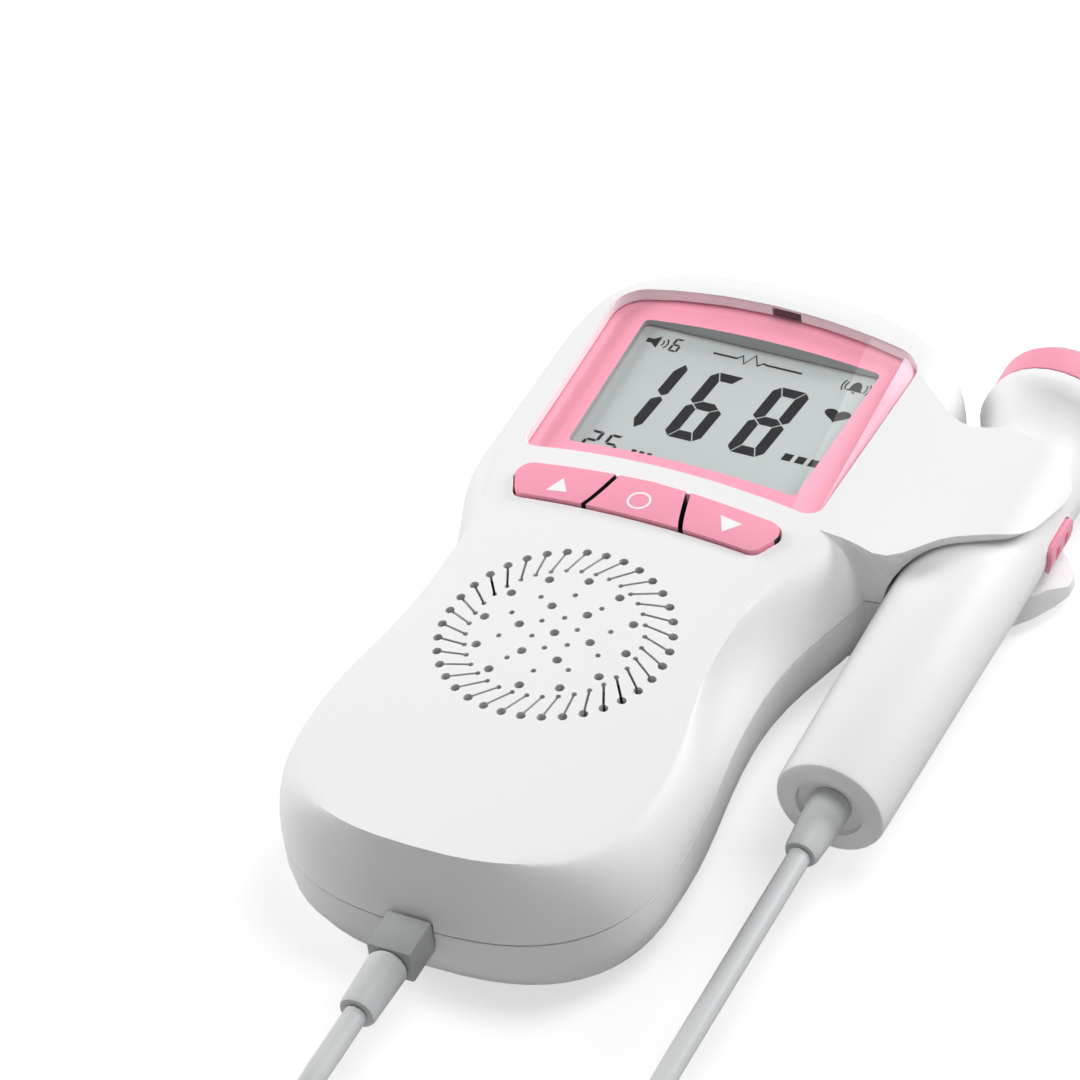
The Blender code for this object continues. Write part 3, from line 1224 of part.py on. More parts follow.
def make_board(body):
    board = piece("main_board", prism(board_outline(), BOARD_BOTTOM, BOARD_TOP),
                  finish("main_board", "2E6B45", 0.5), body)
    for x, y in BOARD_POSTS:
        low, high = BOARD_BOTTOM - CUT_OVERRUN, BOARD_TOP + CUT_OVERRUN
        shape_with(board, post(x, y, SMALL_SCREW_SHANK + FIT, low, high, 8))
    black = finish("board_chip", "1E1F21", 0.5)
    length = BOARD_END_Y - BOARD_START_Y
    for number, (along, up, wide, tall) in enumerate(CHIP_SHARES, 1):
        height = BOARD_BOTTOM - FIT - 0.5 * CHIP_HEIGHT
        centre = (along * BOARD_HALF_WIDTH, BOARD_START_Y + up * length, height)
        size = (wide * BOARD_HALF_WIDTH, tall * length, CHIP_HEIGHT)
        piece("board_chip_" + str(number), box(centre, size), black, body, centre)
    steel = finish("screw_steel", "B9BBBD", 0.3, 1.0)
    small = (SMALL_SCREW_HEAD_HEIGHT, SMALL_SCREW_HEAD, SMALL_SCREW_SHANK, SMALL_SCREW_LENGTH)
    make_screws(body, "board_screw", BOARD_POSTS, BOARD_BOTTOM - FIT - small[0], small, steel)
    large = (CASE_HEAD_HEIGHT, CASE_HEAD_RADIUS, CASE_SHANK_RADIUS, CASE_SHANK_LENGTH)
    make_screws(body, "case_screw", CASE_POSTS, CASE_SEAT_Z - FIT - large[0], large, steel)


def spring_mesh(x, start_y, direction):
    """Small coil spring along Y: one unbroken wire of four turns."""
    mesh = new_mesh()
    steps = 8
    total = SPRING_TURNS * steps
    wires = []
    for k in range(total + 1):
        angle = 2.0 * math.pi * k / steps
        y = start_y + direction * (SPRING_WIRE + (SPRING_LENGTH - 2.0 * SPRING_WIRE) * k / total)
        ring = []
        for corner in range(4):
            turn = math.radians(45.0 + 90.0 * corner)
            radius = SPRING_RADIUS + SPRING_WIRE * math.cos(turn)
            ring.append(mesh.verts.new((x + radius * math.cos(angle), y + SPRING_WIRE * math.sin(turn),
                                        CELL_Z + radius * math.sin(angle))))
        wires.append(ring)
    for low, high in zip(wires, wires[1:]):
        for i in range(4):
            j = (i + 1) % 4
            mesh.faces.new((low[i], low[j], high[j], high[i]))
    mesh.faces.new(wires[0])
    mesh.faces.new(wires[-1])
    return close_up(mesh)


def make_batteries(body):
    """Two cells side by side, each with a spring at its flat end and contact plates at both ends."""
    plate_y = BAY_START_Y + FIT
    spring_y = plate_y + CONTACT_THICKNESS + FIT
    cell_y = spring_y + SPRING_LENGTH + FIT
    far_plate_y = BAY_END_Y - FIT - CONTACT_THICKNESS
    far_spring_y = far_plate_y - FIT
    can = finish("battery", "C9CCD0", 0.3, 0.8)
    bevel = 0.1 * CELL_RADIUS
    steel = finish("contact_steel", "C4C6C8", 0.25, 1.0)
    for number, side in ((1, -1), (2, 1)):
        x = side * 0.5 * CELL_SPACING
        start = cell_y if side < 0 else far_spring_y - SPRING_LENGTH - FIT
        way = 1.0 if side < 0 else -1.0
        profile = [(CELL_RADIUS - bevel, start), (CELL_RADIUS, start + way * bevel),
                   (CELL_RADIUS, start + way * (CELL_LENGTH - bevel)),
                   (CELL_RADIUS - bevel, start + way * CELL_LENGTH),
                   (CELL_TIP_RADIUS, start + way * CELL_LENGTH),
                   (CELL_TIP_RADIUS, start + way * (CELL_LENGTH + CELL_TIP_LENGTH))]
        piece("battery_" + str(number), turned(profile, (x, 0.0, CELL_Z), "Y", 16), can, body)
        spring_start = spring_y if side < 0 else far_spring_y
        piece("battery_spring_" + str(number), spring_mesh(x, spring_start, way), steel, body)
    width = 2.0 * BAY_HALF_WIDTH - 2.0 * FIT
    low = RECESS_TOP_Z + FIT
    height = BAY_TOP_Z - low
    for number, start in ((1, plate_y), (2, far_plate_y)):
        centre = (0.0, start + 0.5 * CONTACT_THICKNESS, low + 0.5 * height)
        piece("battery_plate_" + str(number), box(centre, (width, CONTACT_THICKNESS, height)), steel, body)


def make_door(body, material):
    """Battery door with its hinge edge towards the display and a thumb groove at the heel edge."""
    axis = (0.0, DOOR_END_Y - DOOR_AXIS_SETBACK, DOOR_RECESS + 0.5 * DOOR_THICKNESS)
    half = DOOR_HALF - FIT
    near_y = DOOR_START_Y + FIT
    corners = [(-half, near_y), (half, near_y), (half, DOOR_END_Y), (-half, DOOR_END_Y)]
    corner = DOOR_CORNER - FIT
    plan = rounded(corners, [corner, corner, 0.0, 0.0])
    door = piece("battery_door", prism(plan, DOOR_RECESS, DOOR_TOP_Z), material, body, axis)
    for k in range(4):
        y = DOOR_START_Y + (3.0 + 1.3 * k) * DOOR_THICKNESS
        width = (0.75 - 0.12 * k) * DOOR_HALF
        groove = box((0.0, y, DOOR_RECESS), (width, 0.5 * DOOR_THICKNESS, 0.6 * DOOR_THICKNESS))
        shape_with(door, groove, "DIFFERENCE", axis)
    return door


def make_socket_and_plug(body):
    middle = (0.0, SOCKET_START + 0.5 * SOCKET_LENGTH, PLUG_Z)
    socket = piece("lead_socket", box(middle, (SOCKET_WIDTH, SOCKET_LENGTH, SOCKET_HEIGHT)),
                   finish("lead_socket", "2B2C2E", 0.5), body)
    tongue_start = HEEL_END_Y
    tongue_end = tongue_start + TONGUE_LENGTH
    cavity_end = tongue_end + FIT
    shape_with(socket, box((0.0, 0.5 * (SOCKET_START - CUT_OVERRUN + cavity_end), PLUG_Z),
                           (TONGUE_WIDTH + 2.0 * FIT, cavity_end - SOCKET_START + CUT_OVERRUN,
                            TONGUE_HEIGHT + 2.0 * FIT)))
    grey = finish("plug_plastic", "D3D5D6", 0.45)
    plug_front = HEEL_END_Y - FIT
    centre = (0.0, plug_front - 0.5 * PLUG_LENGTH, PLUG_Z)
    plug = piece("plug_body", bevelled_box(centre, (PLUG_WIDTH, PLUG_LENGTH, PLUG_HEIGHT), PLUG_BEVEL),
                 grey, body, centre)
    latch_y = plug_front - 0.5 * LATCH_LENGTH
    latch = bevelled_box((0.0, latch_y, PLUG_Z - 0.5 * PLUG_HEIGHT - 0.25 * LATCH_HEIGHT),
                         (LATCH_WIDTH, LATCH_LENGTH, 1.5 * LATCH_HEIGHT), 0.25 * LATCH_HEIGHT, 1)
    shape_with(plug, latch, "UNION", centre)
    tongue = bevelled_box((0.0, tongue_start + 0.5 * TONGUE_LENGTH, PLUG_Z),
                          (TONGUE_WIDTH, TONGUE_LENGTH, TONGUE_HEIGHT), 0.2 * TONGUE_HEIGHT, 1)
    piece("plug_tongue", tongue, finish("plug_tongue", "C9A54A", 0.3, 1.0), body, centre)
    start = plug_front - PLUG_LENGTH - FIT
    end = start - PLUG_RELIEF_LENGTH
    profile = [(0.88 * PLUG_RELIEF_ROOT, start), (PLUG_RELIEF_ROOT, start - 0.06 * PLUG_RELIEF_LENGTH),
               (PLUG_RELIEF_TIP, end + 0.05 * PLUG_RELIEF_LENGTH), (0.93 * PLUG_RELIEF_TIP, end)]
    piece("plug_relief", turned(profile, (0.0, 0.0, PLUG_Z), "Y", 24), grey, body, centre)
    return end - FIT


def flare_profile(steps=6):
    """Concave trumpet from the handle to the head's rim."""
    points = []
    for k in range(steps + 1):
        share = k / steps
        radius = HANDLE_RADIUS + (FLARE_RIM_RADIUS - HANDLE_RADIUS) * share ** 2.1
        points.append((radius, FLARE_START_Y + (FLARE_RIM_Y - FLARE_START_Y) * share))
    return points


def wrapped(outline, low, high, degrees):
    """Plate bent round the probe's axis: outline x is arc length on the handle, y is along the axis."""
    mesh = prism(outline, low, high)
    widest = max(abs(x) for x, _ in outline)
    slice_mesh(mesh, widest, WRAP_COLUMN)
    for vert in mesh.verts:
        angle = math.radians(degrees) + vert.co.x / HANDLE_RADIUS
        radius = vert.co.z
        x, z = PROBE_X + radius * math.cos(angle), PROBE_Z + radius * math.sin(angle)
        vert.co = Vector((x, vert.co.y, z))
    return close_up(mesh)


def pad_outline(grow=0.0):
    half = HANDLE_RADIUS * math.radians(PAD_HALF_ANGLE) + grow
    corners = [(-half, PAD_START_Y - grow), (half, PAD_START_Y - grow),
               (half, PAD_END_Y + grow), (-half, PAD_END_Y + grow)]
    return rounded(corners, [0.45 * half] * 4, 3)


def make_probe(body, material):
    axis = (PROBE_X, 0.0, PROBE_Z)
    end = PROBE_END_Y
    hole = RELIEF_TIP - 0.5 * FIT
    edge = 0.1 * HANDLE_END_RADIUS
    inner = HANDLE_RADIUS - PROBE_WALL
    end_wall = end + COUNTERBORE_DEPTH + PROBE_WALL
    mouth = BAND_RADIUS - PROBE_WALL
    profile = [(hole, end + COUNTERBORE_DEPTH), (COUNTERBORE_RADIUS, end + COUNTERBORE_DEPTH),
               (COUNTERBORE_RADIUS, end), (HANDLE_END_RADIUS - edge, end),
               (HANDLE_END_RADIUS - 0.3 * edge, end + 0.3 * edge), (HANDLE_END_RADIUS, end + edge),
               (HANDLE_RADIUS, HANDLE_FULL_Y)]
    profile += flare_profile()
    rim_y = 0.5 * (FLARE_RIM_Y + BAND_START_Y)
    profile += [(FLARE_RIM_RADIUS, rim_y), (BAND_RADIUS, BAND_START_Y), (mouth, BAND_START_Y),
                (mouth, FLARE_RIM_Y), (inner, FLARE_START_Y), (inner - edge, end_wall), (hole, end_wall)]
    profile.append(profile[0])
    handle = piece("probe_handle", turned(profile, axis, "Y", PROBE_STEPS), material, body, axis)
    pocket = wrapped(pad_outline(FIT), HANDLE_RADIUS - PAD_INSET, HANDLE_RADIUS + CUT_OVERRUN, PAD_ANGLE)
    shape_with(handle, pocket, "DIFFERENCE", axis)
    pink = finish("probe_pink", "F7A0BA", 0.4)
    plate = wrapped(pad_outline(), HANDLE_RADIUS - PAD_INSET + FIT, HANDLE_RADIUS + PAD_PROUD, PAD_ANGLE)
    pad = piece("probe_pad", plate, pink, body, axis)
    middle_y = 0.5 * (PAD_START_Y + PAD_END_Y)
    length = PAD_END_Y - PAD_START_Y
    for side in (-1, 1):
        slot = [(x, middle_y + side * 0.2 * length + y) for x, y in slot_corners(length)]
        plan = rounded(slot, [0.04 * length] * 4, 2)
        groove = wrapped(plan, HANDLE_RADIUS + 0.2 * PAD_PROUD, HANDLE_RADIUS + CUT_OVERRUN, PAD_ANGLE)
        shape_with(pad, groove, "DIFFERENCE", axis)
    start = BAND_START_Y + FIT
    round_edge = 0.025 * BAND_RADIUS
    profile = [(mouth, start), (BAND_RADIUS, start), (BAND_RADIUS, BAND_END_Y - round_edge),
               (BAND_RADIUS - round_edge, BAND_END_Y), (mouth, BAND_END_Y), (mouth, start)]
    piece("probe_band", turned(profile, axis, "Y", PROBE_STEPS), pink, body, axis)
    make_probe_face(body, axis, mouth)
    make_probe_inside(body, axis)
    return make_probe_relief(body, axis, hole, end_wall)


def slot_corners(length):
    half = 0.55 * HANDLE_RADIUS * math.radians(PAD_HALF_ANGLE)
    return [(-half, -0.07 * length), (half, -0.07 * length), (half, 0.07 * length), (-half, 0.07 * length)]


def make_probe_face(body, axis, mouth):
    """Acoustic face: a low dome with a spigot inside the band."""
    back = BAND_END_Y + FIT
    spigot = mouth - FIT
    spigot_start = BAND_START_Y + PROBE_WALL
    cup = DISC_RADIUS + FIT
    rim = BAND_RADIUS - 0.5 * PROBE_WALL
    rise = PROBE_FACE_Y - back
    profile = [(0.0, back), (cup, back), (cup, spigot_start), (spigot, spigot_start), (spigot, back),
               (rim, back), (rim, back + 0.3 * rise), (0.93 * rim, back + 0.72 * rise),
               (0.75 * rim, back + 0.92 * rise), (0.0, PROBE_FACE_Y)]
    piece("probe_face", turned(profile, axis, "Y", PROBE_STEPS),
          finish("probe_face", "D8D4D4", 0.3), body, axis)


def make_probe_inside(body, axis):
    disc_end = BAND_END_Y
    disc = [(DISC_RADIUS, disc_end - DISC_THICKNESS), (DISC_RADIUS, disc_end)]
    piece("transducer_disc", turned(disc, axis, "Y", 24),
          finish("transducer_disc", "C8B27A", 0.3, 0.8), body, axis)
    block_end = disc_end - DISC_THICKNESS - FIT
    block = [(DISC_RADIUS, block_end - BLOCK_LENGTH), (DISC_RADIUS, block_end)]
    piece("damping_block", turned(block, axis, "Y", 24),
          finish("damping_block", "4A4C4E", 0.9), body, axis)
    board_end = FLARE_START_Y
    board_start = board_end - PROBE_BOARD_LENGTH
    centre = (PROBE_X, 0.5 * (board_start + board_end), PROBE_Z)
    piece("probe_board", box(centre, (PROBE_BOARD_WIDTH, PROBE_BOARD_LENGTH, PROBE_BOARD_THICKNESS)),
          finish("probe_board", "2E6B45", 0.5), body, axis)


def make_probe_relief(body, axis, hole, end_wall):
    """Tapered sleeve of the probe's lead, held by a collar behind the end wall."""
    face = PROBE_END_Y + COUNTERBORE_DEPTH - FIT
    tip = face - RELIEF_LENGTH
    neck = hole - FIT
    collar = 1.45 * RELIEF_ROOT
    belly = RELIEF_ROOT - 0.3 * (RELIEF_ROOT - RELIEF_TIP)
    profile = [(collar, end_wall + FIT + 0.3 * RELIEF_ROOT), (collar, end_wall + FIT), (neck, end_wall + FIT),
               (neck, face), (RELIEF_ROOT, face), (belly, 0.5 * (face + tip)),
               (RELIEF_TIP, tip + 0.06 * RELIEF_LENGTH), (0.9 * RELIEF_TIP, tip)]
    piece("probe_relief", turned(profile, axis, "Y", 24),
          finish("probe_relief", "DADCDD", 0.45), body, axis)
    return tip - FIT


def make_cord_run(body, name, route, material):
    """Round lead along a smooth curve through the route's points."""
    points = smooth_route(route)
    data = bpy.data.curves.new(name, "CURVE")
    data.dimensions = "3D"
    data.bevel_depth = CABLE_RADIUS
    data.bevel_resolution = 2
    data.use_fill_caps = True
    spline = data.splines.new("POLY")
    spline.points.add(len(points) - 1)
    for slot, point in zip(spline.points, points):
        slot.co = (point.x, point.y, point.z, 1.0)
    data.materials.append(material)
    item = bpy.data.objects.new(name, data)
    bpy.context.collection.objects.link(item)
    item.parent = body
    return points


def smooth_route(route, parts=3):
    """Catmull-Rom curve through the route, a few points between each two."""
    knots = [Vector(point) for point in route]
    padded = [2.0 * knots[0] - knots[1]] + knots + [2.0 * knots[-1] - knots[-2]]
    points = []
    for i in range(1, len(padded) - 2):
        a, b, c, d = padded[i - 1:i + 3]
        for k in range(parts):
            t = k / parts
            points.append(0.5 * (2.0 * b + (c - a) * t + (2.0 * a - 5.0 * b + 4.0 * c - d) * t * t
                                 + (3.0 * b - a - 3.0 * c + d) * t ** 3))
    points.append(knots[-1])
    return points


def coil_point(turns, centre_x):
    """Point of the coil's middle line: in on the lower layer, up at the middle, out on the upper."""
    half = 0.5 * COIL_TURNS
    radius = COIL_OUTER_RADIUS - COIL_PITCH * (half - abs(turns - half))
    climb = smooth((turns - half + 0.25) / 0.5)
    angle = math.pi + 2.0 * math.pi * turns
    return Vector((centre_x + radius * math.cos(angle), COIL_Y + radius * math.sin(angle),
                   COIL_BASE_Z + COIL_LAYER_RISE * climb))


def coil_points(centre_x):
    steps = int(COIL_TURNS * LOOP_POINTS)
    points = [coil_point(COIL_TURNS * k / steps, centre_x) for k in range(steps + 1)]
    lead_in = Vector((0.0, 2.0 * CABLE_RADIUS, 0.0))
    return [points[0] + lead_in] + points + [points[-1] + lead_in]


def least_gap(points):
    """Least distance between turns of the coil, surface to surface."""
    least = COIL_OUTER_RADIUS
    apart = LOOP_POINTS // 2
    for i in range(len(points)):
        for j in range(i + apart, len(points)):
            least = min(least, (points[i] - points[j]).length)
    return least - 2.0 * CABLE_RADIUS


def make_coil(body, centre_x, material):
    points = coil_points(centre_x)
    data = bpy.data.curves.new("lead_coil", "CURVE")
    data.dimensions = "3D"
    data.bevel_depth = CABLE_RADIUS
    data.bevel_resolution = 1
    data.use_fill_caps = True
    spline = data.splines.new("POLY")
    spline.points.add(len(points) - 1)
    for slot, point in zip(spline.points, points):
        slot.co = (point.x, point.y, point.z, 1.0)
    data.materials.append(material)
    item = bpy.data.objects.new("lead_coil", data)
    bpy.context.collection.objects.link(item)
    item.parent = body
    print("least gap of the coil to itself in mm:", round(least_gap(points) * 1000.0, 3))
    return points


def route_length(points):
    return sum((b - a).length for a, b in zip(points, points[1:]))


def make_lead(body, plug_end, probe_end):
    """The lead's three nodes: a run to the plug, the coil, and a run to the probe."""
    material = finish("lead", "D9DBDC", 0.5)
    centre_x = 0.5 * PROBE_X
    coil = make_coil(body, centre_x, material)
    first, last = coil[0], coil[-1]
    gap = Vector((0.0, FIT, 0.0))
    start = Vector((0.0, plug_end, PLUG_Z))
    unit_route = [start, start + Vector((0.0, -0.007, 0.0)), (-0.0001, -0.0805, 0.01365),
                  (-0.0004, -0.0865, 0.0112), (-0.0009, -0.093, 0.0064), (-0.0013, -0.0985, 0.0029),
                  first + 11.0 * gap, first + gap]
    unit = make_cord_run(body, "lead_unit_run", unit_route, material)
    start = Vector((PROBE_X, probe_end, PROBE_Z))
    probe_route = [start, start + Vector((0.0, -0.009, 0.0)), (0.04585, -0.045, 0.0135),
                   (0.04585, -0.062, 0.0134), (0.0459, -0.075, 0.0125), (0.0465, -0.0865, 0.0096),
                   (0.0471, -0.0955, 0.0068), last + 13.0 * gap, last + gap]
    probe = make_cord_run(body, "lead_probe_run", probe_route, material)
    total = route_length(unit) + route_length(coil) + route_length(probe)
    print("length of the lead in mm:", round(total * 1000.0, 1))


def build():
    for item in list(bpy.data.objects):
        bpy.data.objects.remove(item)
    body = bpy.data.objects.new("doppler", None)
    bpy.context.collection.objects.link(body)
    middle_x = 0.5 * (PROBE_X + FLARE_RIM_RADIUS - HEAD_HALF_WIDTH)
    middle_y = 0.5 * (PROBE_FACE_Y + HEEL_END_Y)
    body.location = (-middle_x, -middle_y, 0.0)
    white = finish("shell_white", "F3F4F5", 0.35)
    make_front_shell(body, white)
    make_back_shell(body, white)
    make_window(body)
    make_keys(body)
    make_speaker(body)
    make_board(body)
    make_batteries(body)
    make_door(body, white)
    plug_end = make_socket_and_plug(body)
    probe_end = make_probe(body, white)
    make_lead(body, plug_end, probe_end)


build()
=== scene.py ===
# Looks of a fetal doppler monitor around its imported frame: finishes, display, signs, lead, light and camera.
# Everything is in metres in the frame's own axes: +Y to the display end, +X to the probe, +Z out of the face.

import json
import math

import bpy
from mathutils import Matrix, Vector


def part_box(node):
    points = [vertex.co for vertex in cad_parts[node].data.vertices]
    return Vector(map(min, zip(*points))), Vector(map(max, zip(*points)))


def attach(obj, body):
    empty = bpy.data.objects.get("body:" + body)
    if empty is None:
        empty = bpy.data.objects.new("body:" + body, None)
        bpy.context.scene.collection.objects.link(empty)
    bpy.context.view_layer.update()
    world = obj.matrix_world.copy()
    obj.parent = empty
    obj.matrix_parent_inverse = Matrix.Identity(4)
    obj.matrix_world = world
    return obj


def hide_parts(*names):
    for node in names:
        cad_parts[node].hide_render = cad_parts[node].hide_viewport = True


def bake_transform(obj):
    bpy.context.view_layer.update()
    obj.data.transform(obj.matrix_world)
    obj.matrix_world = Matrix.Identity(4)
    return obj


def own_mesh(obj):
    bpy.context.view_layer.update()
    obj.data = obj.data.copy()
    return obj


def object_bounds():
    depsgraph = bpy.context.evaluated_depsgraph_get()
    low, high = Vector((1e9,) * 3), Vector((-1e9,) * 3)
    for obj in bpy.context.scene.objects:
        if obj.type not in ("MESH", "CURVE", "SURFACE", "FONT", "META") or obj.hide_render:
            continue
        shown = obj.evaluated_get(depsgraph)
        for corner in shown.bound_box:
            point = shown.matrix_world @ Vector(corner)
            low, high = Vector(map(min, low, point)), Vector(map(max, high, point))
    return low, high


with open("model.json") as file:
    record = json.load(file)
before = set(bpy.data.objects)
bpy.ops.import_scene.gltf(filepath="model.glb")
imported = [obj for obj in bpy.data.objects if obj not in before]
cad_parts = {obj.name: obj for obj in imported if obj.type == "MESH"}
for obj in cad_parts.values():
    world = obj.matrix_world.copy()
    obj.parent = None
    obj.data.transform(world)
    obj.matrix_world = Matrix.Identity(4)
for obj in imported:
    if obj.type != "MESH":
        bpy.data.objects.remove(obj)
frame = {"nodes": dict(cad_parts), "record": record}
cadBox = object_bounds()
nodes = frame["nodes"]
groups = frame["record"]["behaviour"]["bodies"]
bodyOfNode = {node: body for body, group in groups.items() for node in group}
clothLow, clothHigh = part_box("speaker_cloth")
grilleCentre = Vector((0.5 * (clothLow.x + clothHigh.x), 0.5 * (clothLow.y + clothHigh.y), 0.0))
print("frame loaded:", len(nodes), "nodes")


def fromGrille(x, y, z):
    return grilleCentre + Vector((x, y, z))


# Camera and light
cameraSettings = {
    "place": (0.3044, -0.4852, 0.5658),  # from the grille's centre, height above the table
    "right": (0.89029, 0.44218, -0.10893),
    "up": (-0.22862, 0.64085, 0.73283),
    "back": (0.39385, -0.62753, 0.67163),
    "lens": 178.4,
    "sensor": 36.0,
    "clip": (0.01, 20.0),
}
lightSettings = {
    "overhead": {"place": (0.45, 0.2, 1.15), "size": 0.66, "watts": 7.1},
    "farSide": {"place": (0.8, 1.0, 0.5), "size": 0.6, "watts": 11.6},
    "leftSide": {"place": (-1.2, 0.1, 0.5), "size": 0.6, "watts": 14.0, "mirrored": False},
    "front": {"place": (0.3, -1.1, 0.45), "size": 0.6, "watts": 1.9},
    "skyStrength": 0.05,
    "skyMirrored": 0.12,
    "floorColour": "C2C2C3",
    "floorGlow": 0.6,
    "floorSize": 8.0,
    "floorDrop": 0.0002,
    "floorRoughness": 0.9,
    "floorGloss": 0.1,
}
cardSettings = {
    "edgeLow": (-0.208, 0.877, 0.867),  # from the grille's centre, seen mirrored at the display's far end
    "edgeHigh": (-0.162, 0.84, 0.943),
    "reach": 3.0,
    "width": 0.45,
    "glow": 1.3,
}


def linearColour(hexColour):
    channels = [int(hexColour[i:i + 2], 16) / 255.0 for i in (0, 2, 4)]
    return [c / 12.92 if c <= 0.04045 else ((c + 0.055) / 1.055) ** 2.4 for c in channels] + [1.0]


def addNode(tree, kind, values=None, links=None, **settings):
    node = tree.nodes.new(kind)
    for key, value in settings.items():
        setattr(node, key, value)
    for socket, value in (values or {}).items():
        node.inputs[socket].default_value = value
    for socket, (source, output) in (links or {}).items():
        tree.links.new(source.outputs[output], node.inputs[socket])
    return node


def addCamera():
    data = bpy.data.cameras.new("photoCamera")
    data.lens = cameraSettings["lens"]
    data.sensor_width = cameraSettings["sensor"]
    data.clip_start, data.clip_end = cameraSettings["clip"]
    camera = bpy.data.objects.new("photoCamera", data)
    bpy.context.scene.collection.objects.link(camera)
    turn = Matrix([cameraSettings[axis] for axis in ("right", "up", "back")]).transposed()
    camera.matrix_world = Matrix.Translation(fromGrille(*cameraSettings["place"])) @ turn.to_4x4()
    bpy.context.scene.camera = camera


def addLamp(name, place, size, watts, mirrored=True):
    data = bpy.data.lights.new(name, "AREA")
    data.shape = "DISK"
    data.size = size
    data.energy = watts
    lamp = bpy.data.objects.new(name, data)
    bpy.context.scene.collection.objects.link(lamp)
    lamp.location = place
    lamp.rotation_euler = (-Vector(place)).to_track_quat("-Z", "Y").to_euler()
    lamp.visible_transmission = False
    lamp.visible_glossy = mirrored


# a dim white room, brighter where it is mirrored and plain white where the camera sees it
def addSky():
    world = bpy.data.worlds.new("whiteRoom")
    bpy.context.scene.world = world
    world.use_nodes = True
    tree = world.node_tree
    background = tree.nodes["Background"]
    background.inputs["Color"].default_value = (1.0, 1.0, 1.0, 1.0)
    path = addNode(tree, "ShaderNodeLightPath")
    strengths = {"To Min": lightSettings["skyStrength"], "To Max": lightSettings["skyMirrored"]}
    mirrored = addNode(tree, "ShaderNodeMapRange", values=strengths,
                       links={"Value": (path, "Is Glossy Ray")})
    level = addNode(tree, "ShaderNodeMapRange", values={"To Max": 1.0},
                    links={"Value": (path, "Is Camera Ray"), "To Min": (mirrored, "Result")})
    tree.links.new(level.outputs["Result"], background.inputs["Strength"])


def addFloor():
    height = cadBox[0][2] - lightSettings["floorDrop"]
    bpy.ops.mesh.primitive_plane_add(size=lightSettings["floorSize"], location=(0.0, 0.0, height))
    floor = bpy.context.object
    floor.name = "floor"
    # matt white paint: pale, without gloss, its glow for the camera alone, so that shadows stay faint
    material = bpy.data.materials.new("paintedFloor")
    material.use_nodes = True
    tree = material.node_tree
    shader = tree.nodes["Principled BSDF"]
    shader.inputs["Base Color"].default_value = linearColour(lightSettings["floorColour"])
    shader.inputs["Roughness"].default_value = lightSettings["floorRoughness"]
    shader.inputs["Specular IOR Level"].default_value = lightSettings["floorGloss"]
    shader.inputs["Emission Color"].default_value = (1.0, 1.0, 1.0, 1.0)
    path = addNode(tree, "ShaderNodeLightPath")
    glow = addNode(tree, "ShaderNodeMath", operation="MULTIPLY", values={1: lightSettings["floorGlow"]},
                   links={0: (path, "Is Camera Ray")})
    tree.links.new(glow.outputs[0], shader.inputs["Emission Strength"])
    floor.data.materials.append(material)


# a bright card above the display end, out of view: its left edge draws the slanted light band on the window
def addCard():
    s = cardSettings
    bpy.ops.mesh.primitive_plane_add(size=1.0)
    card = bpy.context.object
    card.name = "windowCard"
    low, high = Vector(s["edgeLow"]), Vector(s["edgeHigh"])
    along = s["reach"] * (high - low)
    across = Vector((s["width"], 0.0, 0.0))
    corners = [low - along, low - along + across, high + along, high + along + across]
    for vertex, corner in zip(card.data.vertices, corners):
        vertex.co = fromGrille(*corner)
    material = bpy.data.materials.new("litWindowCard")  # even white glow of a studio card
    material.use_nodes = True
    shader = material.node_tree.nodes["Principled BSDF"]
    shader.inputs["Emission Color"].default_value = (1.0, 1.0, 1.0, 1.0)
    shader.inputs["Emission Strength"].default_value = s["glow"]
    card.data.materials.append(material)
    card.visible_camera = False
    card.visible_diffuse = False
    card.visible_transmission = False
    card.visible_shadow = False


addCamera()
addSky()
for lampName in ("overhead", "farSide", "leftSide", "front"):
    addLamp(lampName, **lightSettings[lampName])
addFloor()
addCard()
bpy.context.scene.view_settings.view_transform = "Standard"
print("camera, light and floor set")


# Materials: one function for each way a surface is made, used in several colours
def newMaterial(name, colour, roughness, metallic=0.0):
    material = bpy.data.materials.new(name)
    material.use_nodes = True
    shader = material.node_tree.nodes["Principled BSDF"]
    shader.inputs["Base Color"].default_value = linearColour(colour)
    shader.inputs["Roughness"].default_value = roughness
    shader.inputs["Metallic"].default_value = metallic
    return material, material.node_tree, shader


def tintBetween(tree, shader, factor, first, second):
    # the base colour wanders between two hex colours as the factor, a node and its output, says
    tint = addNode(tree, "ShaderNodeMix", data_type="RGBA", links={"Factor": factor},
                   values={"A": linearColour(first), "B": linearColour(second)})
    tree.links.new(tint.outputs["Result"], shader.inputs["Base Color"])


def varyGloss(tree, shader, factor, roughness, swing):
    # the roughness goes below and above its middle value by the two swings
    gloss = addNode(tree, "ShaderNodeMapRange", links={"Value": factor},
                    values={"To Min": roughness - swing[0], "To Max": roughness + swing[1]})
    tree.links.new(gloss.outputs["Result"], shader.inputs["Roughness"])


